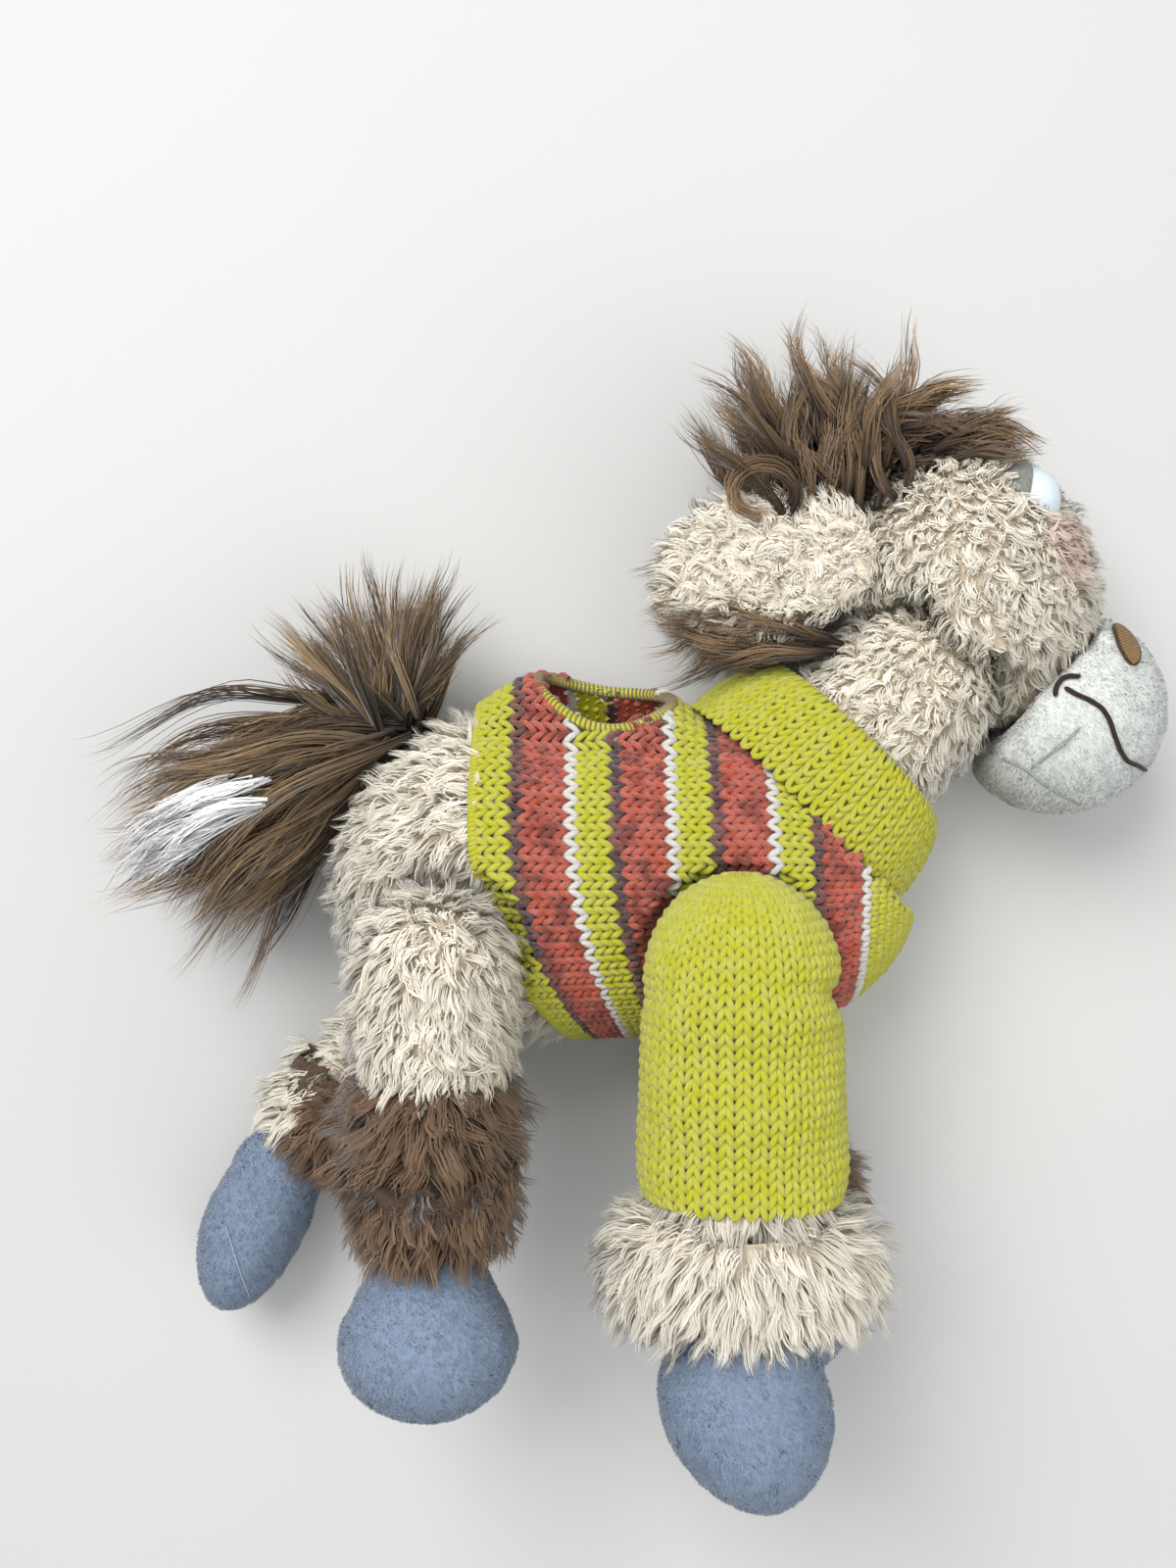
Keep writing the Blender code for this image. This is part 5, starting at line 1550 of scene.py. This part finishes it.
def wound(line, name, look, thread, radius, yarn, turns):
    """Yarn wound round a closed line of the sweater, over a plain core."""
    steps = turns * 10
    at = np.linspace(0, len(line) - 1, steps)
    low = np.minimum(at.astype(int), len(line) - 2)
    f = (at - low)[:, None]
    core = line[low] * (1 - f) + line[low + 1] * f
    along = unit(np.gradient(core, axis=0))
    e1 = unit(np.cross(along, np.array((0.3, 1.0, 0.2))))
    e2 = np.cross(along, e1)
    turn = np.linspace(0, turns * 2 * math.pi, steps)[:, None]
    coil = core + radius * (np.cos(turn) * e1 + np.sin(turn) * e2)
    mesh = tubes(name, coil[None], (core - coil)[None] * -1, yarn)
    show(name, mesh, thread, "torso")
    inner = tubes(name + "_core", core[::5][None], e1[::5][None], radius, THREAD_SIDES)
    show(name + "_core", inner, look, "torso")


COLLAR_HEIGHT, COLLAR_PAST = 0.024, 0.0015  # the height, and how far the rows run past it
COLLAR_HALF, COLLAR_THICK, COLLAR_TOP = 0.044, 0.034, 0.038  # half its size at the foot, and at the top
COLLAR_IN, COLLAR_BULGE, RIB_DEEP = 0.0012, 0.0014, 0.0009
COLLAR_CURL, CURL_FROM = -0.010, 0.86  # how the top turns in, and from which share of the height
COLLAR_ROWS, COLLAR_FLAT, COLLAR_FUZZ_APART = 8, (0.250, 0.026), 0.0028


def collar_spot(u, v):
    """Where a stitch of the collar lies, by its rib and row."""
    k, b = bpy.context.scene.horse_knit, body_sizes()
    angle = np.asarray(u) / k.ribs * 2 * math.pi
    s = np.clip(v * k.pitch / COLLAR_HEIGHT, -0.1, 1.12)
    half = COLLAR_HALF + (COLLAR_TOP - COLLAR_HALF) * s - COLLAR_IN
    thick = COLLAR_THICK + (COLLAR_TOP - COLLAR_THICK) * s - COLLAR_IN
    ribs = RIB_DEEP * np.cos(2 * math.pi * np.asarray(u))
    swell = COLLAR_BULGE * np.sin(math.pi * np.clip(s, 0, 1)) - ribs
    curl = COLLAR_CURL * np.clip(s - CURL_FROM, 0, 1) ** 1.3
    along = np.minimum(v * k.pitch, COLLAR_HEIGHT + COLLAR_PAST)
    return (np.array(b.neck_foot) + NECK_AXIS * along[..., None]
            + NECK_OUT * ((half + swell + curl) * np.cos(angle))[..., None]
            + UP * ((thick + swell + curl) * np.sin(angle))[..., None])


class HORSE_OT_collar(bpy.types.Operator):
    """The ribbed lime collar"""

    bl_idname = "horse.collar"
    bl_label = "Collar"

    def execute(self, context):
        k = context.scene.horse_knit
        c, r = np.meshgrid(np.arange(k.ribs), np.arange(COLLAR_ROWS))
        mesh = stitches("collar_stitches", collar_spot, c.ravel(), r.ravel(), k.yarn, wave=0.05, tall=0.80,
                        deep=0.3, seed=91)
        yarn = show("collar_yarn", mesh, yarns()["lime"], "torso")
        fur = bpy.data.materials["lime_fuzz"]
        fuzz("collar_fuzz", mesh, "torso", fur, COLLAR_FUZZ_APART, PLAIN_FUZZ, 92)
        sheet = backing("collar_backing", collar_spot, k.ribs, COLLAR_ROWS, COLLAR_SINK)
        look = shaded_backing_finish("lime_backing", tuple(k.lime))
        under = show("collar_backing", sheet, look, "torso", ["sweater_collar"])
        return {"FINISHED"}


SLEEVE_FLAT = {"right_front": (0.160, 0.085), "left_front": (0.130, 0.080)}
SLEEVE_TOP = 0.9995  # of the leg's half width, nearly its end
SLEEVE_IN, SLEEVE_FOLD, SLEEVE_WAVE = 0.0010, 0.0008, 0.0006
NOTCH_FROM, NOTCH_SLANT, NOTCH_WIDE, NOTCH_DEEP, NOTCH_ROUND = 0.004, 0.004, 0.0045, 0.0024, 0.0012


def sleeve_profile(spec):
    """Places along a sleeve from its hem to its top, and half its width there."""
    places = np.linspace(-spec["sleeve"], spec["wide"] * SLEEVE_TOP, PROFILE_STEPS)
    return places, leg_profile(spec, places)[0]


def sleeve_spot(spec):
    """Finds where a stitch of a sleeve lies, by its column and row."""
    k = bpy.context.scene.horse_knit
    places, radii = sleeve_profile(spec)

    def spot(u, v):
        angle = -np.asarray(u) / k.sleeve_columns * 2 * math.pi
        y = spaced(places, radii, k.pitch * v) + 0 * angle
        half, centre, thick = leg_profile(spec, y)
        fold = SLEEVE_FOLD * np.sin(y * 230 + 3 * np.sin(angle)) * np.sin(angle)
        fold = fold - SLEEVE_WAVE * np.cos(angle * 2 + y * 60)
        notch = np.exp(-(((y + NOTCH_FROM - NOTCH_SLANT * np.sin(angle)) / NOTCH_WIDE) ** 2))
        fold = fold - NOTCH_DEEP * notch * np.clip(np.cos(angle), 0, 1) - NOTCH_ROUND * notch
        x = (half - SLEEVE_IN + fold) * np.cos(angle)
        z = centre + (thick - SLEEVE_IN + fold) * np.sin(angle)
        return from_leg(spec, x, y, np.maximum(z, SLEEVE_OFF))

    return spot


def sleeve_rows(spec):
    """How many rows of stitches run from a sleeve's hem to its top."""
    places, radii = sleeve_profile(spec)
    return int(np.hypot(np.diff(places), np.diff(radii)).sum() / bpy.context.scene.horse_knit.pitch)


class HORSE_OT_sleeves(bpy.types.Operator):
    """The plain lime sleeves on the front legs"""

    bl_idname = "horse.sleeves"
    bl_label = "Sleeves"

    def execute(self, context):
        k = context.scene.horse_knit
        lime, fur = yarns()["lime"], bpy.data.materials["lime_fuzz"]
        look = shaded_backing_finish("lime_backing", tuple(k.lime))
        for leg, flat in SLEEVE_FLAT.items():
            body, node = leg + "_leg", leg + "_sleeve"
            spot, row_count = sleeve_spot(LEGS[leg]), sleeve_rows(LEGS[leg])
            c, r = np.meshgrid(np.arange(k.sleeve_columns), np.arange(row_count))
            mesh = stitches(leg + "_stitches", spot, c.ravel(), r.ravel(), k.yarn, tall=0.74, seed=101)
            yarn = show(node + "_yarn", mesh, lime, body)
            fuzz(node + "_fuzz", mesh, body, fur, FUZZ_APART["lime"], PLAIN_FUZZ, 102)
            sheet = backing(leg + "_backing", spot, k.sleeve_columns, row_count + 1, SLEEVE_SINK)
            under = show(node + "_backing", sheet, look, body, [node, leg + "_hip_tab"])
        return {"FINISHED"}


# Stage


FLOOR_REACH = 6.0
LAMPS = {  # the place, the size and the power
    "key": ((-0.55, 0.75, 1.25), 0.9, 21.0),
    "fill": ((0.9, -0.6, 1.1), 1.2, 7.0),
    "top": ((0.0, 0.1, 1.7), 1.4, 9.5),
}
LAMPS_AIM = Vector((0, 0, 0.04))
SKY, SKY_STRENGTH = (0.92, 0.95, 1.0, 1), 0.38


class HORSE_OT_stage(bpy.types.Operator):
    """Floor, soft light and the camera"""

    bl_idname = "horse.stage"
    bl_label = "Stage"

    def execute(self, context):
        s = context.scene.horse_stage
        scene = context.scene
        reach = FLOOR_REACH
        corners = np.array([(-reach, -reach, 0), (reach, -reach, 0), (reach, reach, 0), (-reach, reach, 0)])
        floor = bpy.data.objects.new("floor", mesh_of("floor", corners, [np.array([[0, 1, 2, 3]])]))
        scene.collection.objects.link(floor)
        pale = cloth_finish("floor", mixed(s.floor, DARK, 0.02), tuple(s.floor), 4.0, 0.0, 0.85)
        floor.data.materials.append(pale)
        for name, (at, size, power) in LAMPS.items():
            lamp = bpy.data.lights.new(name, "AREA")
            lamp.energy = power
            lamp.size = size
            thing = bpy.data.objects.new(name, lamp)
            scene.collection.objects.link(thing)
            thing.location = at
            thing.rotation_euler = (LAMPS_AIM - Vector(at)).to_track_quat("-Z", "Y").to_euler()
        world = bpy.data.worlds.new("soft")
        scene.world = world
        world.use_nodes = True
        sky = world.node_tree.nodes["Background"]
        sky.inputs["Color"].default_value = SKY
        sky.inputs["Strength"].default_value = SKY_STRENGTH
        camera = bpy.data.cameras.new("camera")
        camera.lens = s.lens
        camera.sensor_width = s.sensor
        camera.clip_start = 0.01
        eye = bpy.data.objects.new("camera", camera)
        scene.collection.objects.link(eye)
        eye.location = s.camera_at
        scene.camera = eye
        scene.view_settings.view_transform = "Standard"
        return {"FINISHED"}


class HORSE_PT_panel(bpy.types.Panel):
    """Buttons and sizes of the horse"""

    bl_label = "Plush Horse"
    bl_idname = "HORSE_PT_panel"
    bl_space_type = "VIEW_3D"
    bl_region_type = "UI"
    bl_category = "Plush Horse"

    def draw(self, context):
        for operator in OPERATORS:
            self.layout.operator(operator.bl_idname)
        for name in SETTINGS:
            group = getattr(context.scene, name)
            for key in group.__annotations__:
                self.layout.prop(group, key)


OPERATORS = (
    HORSE_OT_stage, HORSE_OT_stuff, HORSE_OT_coat, HORSE_OT_cuffs, HORSE_OT_hooves, HORSE_OT_muzzle,
    HORSE_OT_eyes, HORSE_OT_mane, HORSE_OT_tail, HORSE_OT_sweater, HORSE_OT_collar, HORSE_OT_sleeves,
)
SETTINGS = {"horse_body": HorseBody, "horse_fur": HorseFur, "horse_hair": HorseHair,
            "horse_knit": HorseKnit, "horse_stage": HorseStage}


def register():
    for group in GROUPS:
        bpy.utils.register_class(group)
    for name, group in SETTINGS.items():
        setattr(bpy.types.Scene, name, bpy.props.PointerProperty(type=group))
    for kind in (*OPERATORS, HORSE_PT_panel):
        bpy.utils.register_class(kind)


def unregister():
    for kind in reversed((*OPERATORS, HORSE_PT_panel)):
        bpy.utils.unregister_class(kind)
    for name in SETTINGS:
        delattr(bpy.types.Scene, name)
    for group in reversed(GROUPS):
        bpy.utils.unregister_class(group)


def main():
    register()
    for step in (bpy.ops.horse.stage, bpy.ops.horse.stuff, bpy.ops.horse.coat, bpy.ops.horse.cuffs,
                 bpy.ops.horse.hooves, bpy.ops.horse.muzzle, bpy.ops.horse.eyes, bpy.ops.horse.mane,
                 bpy.ops.horse.tail, bpy.ops.horse.sweater, bpy.ops.horse.collar, bpy.ops.horse.sleeves):
        step()


if __name__ == "__main__":
    main()
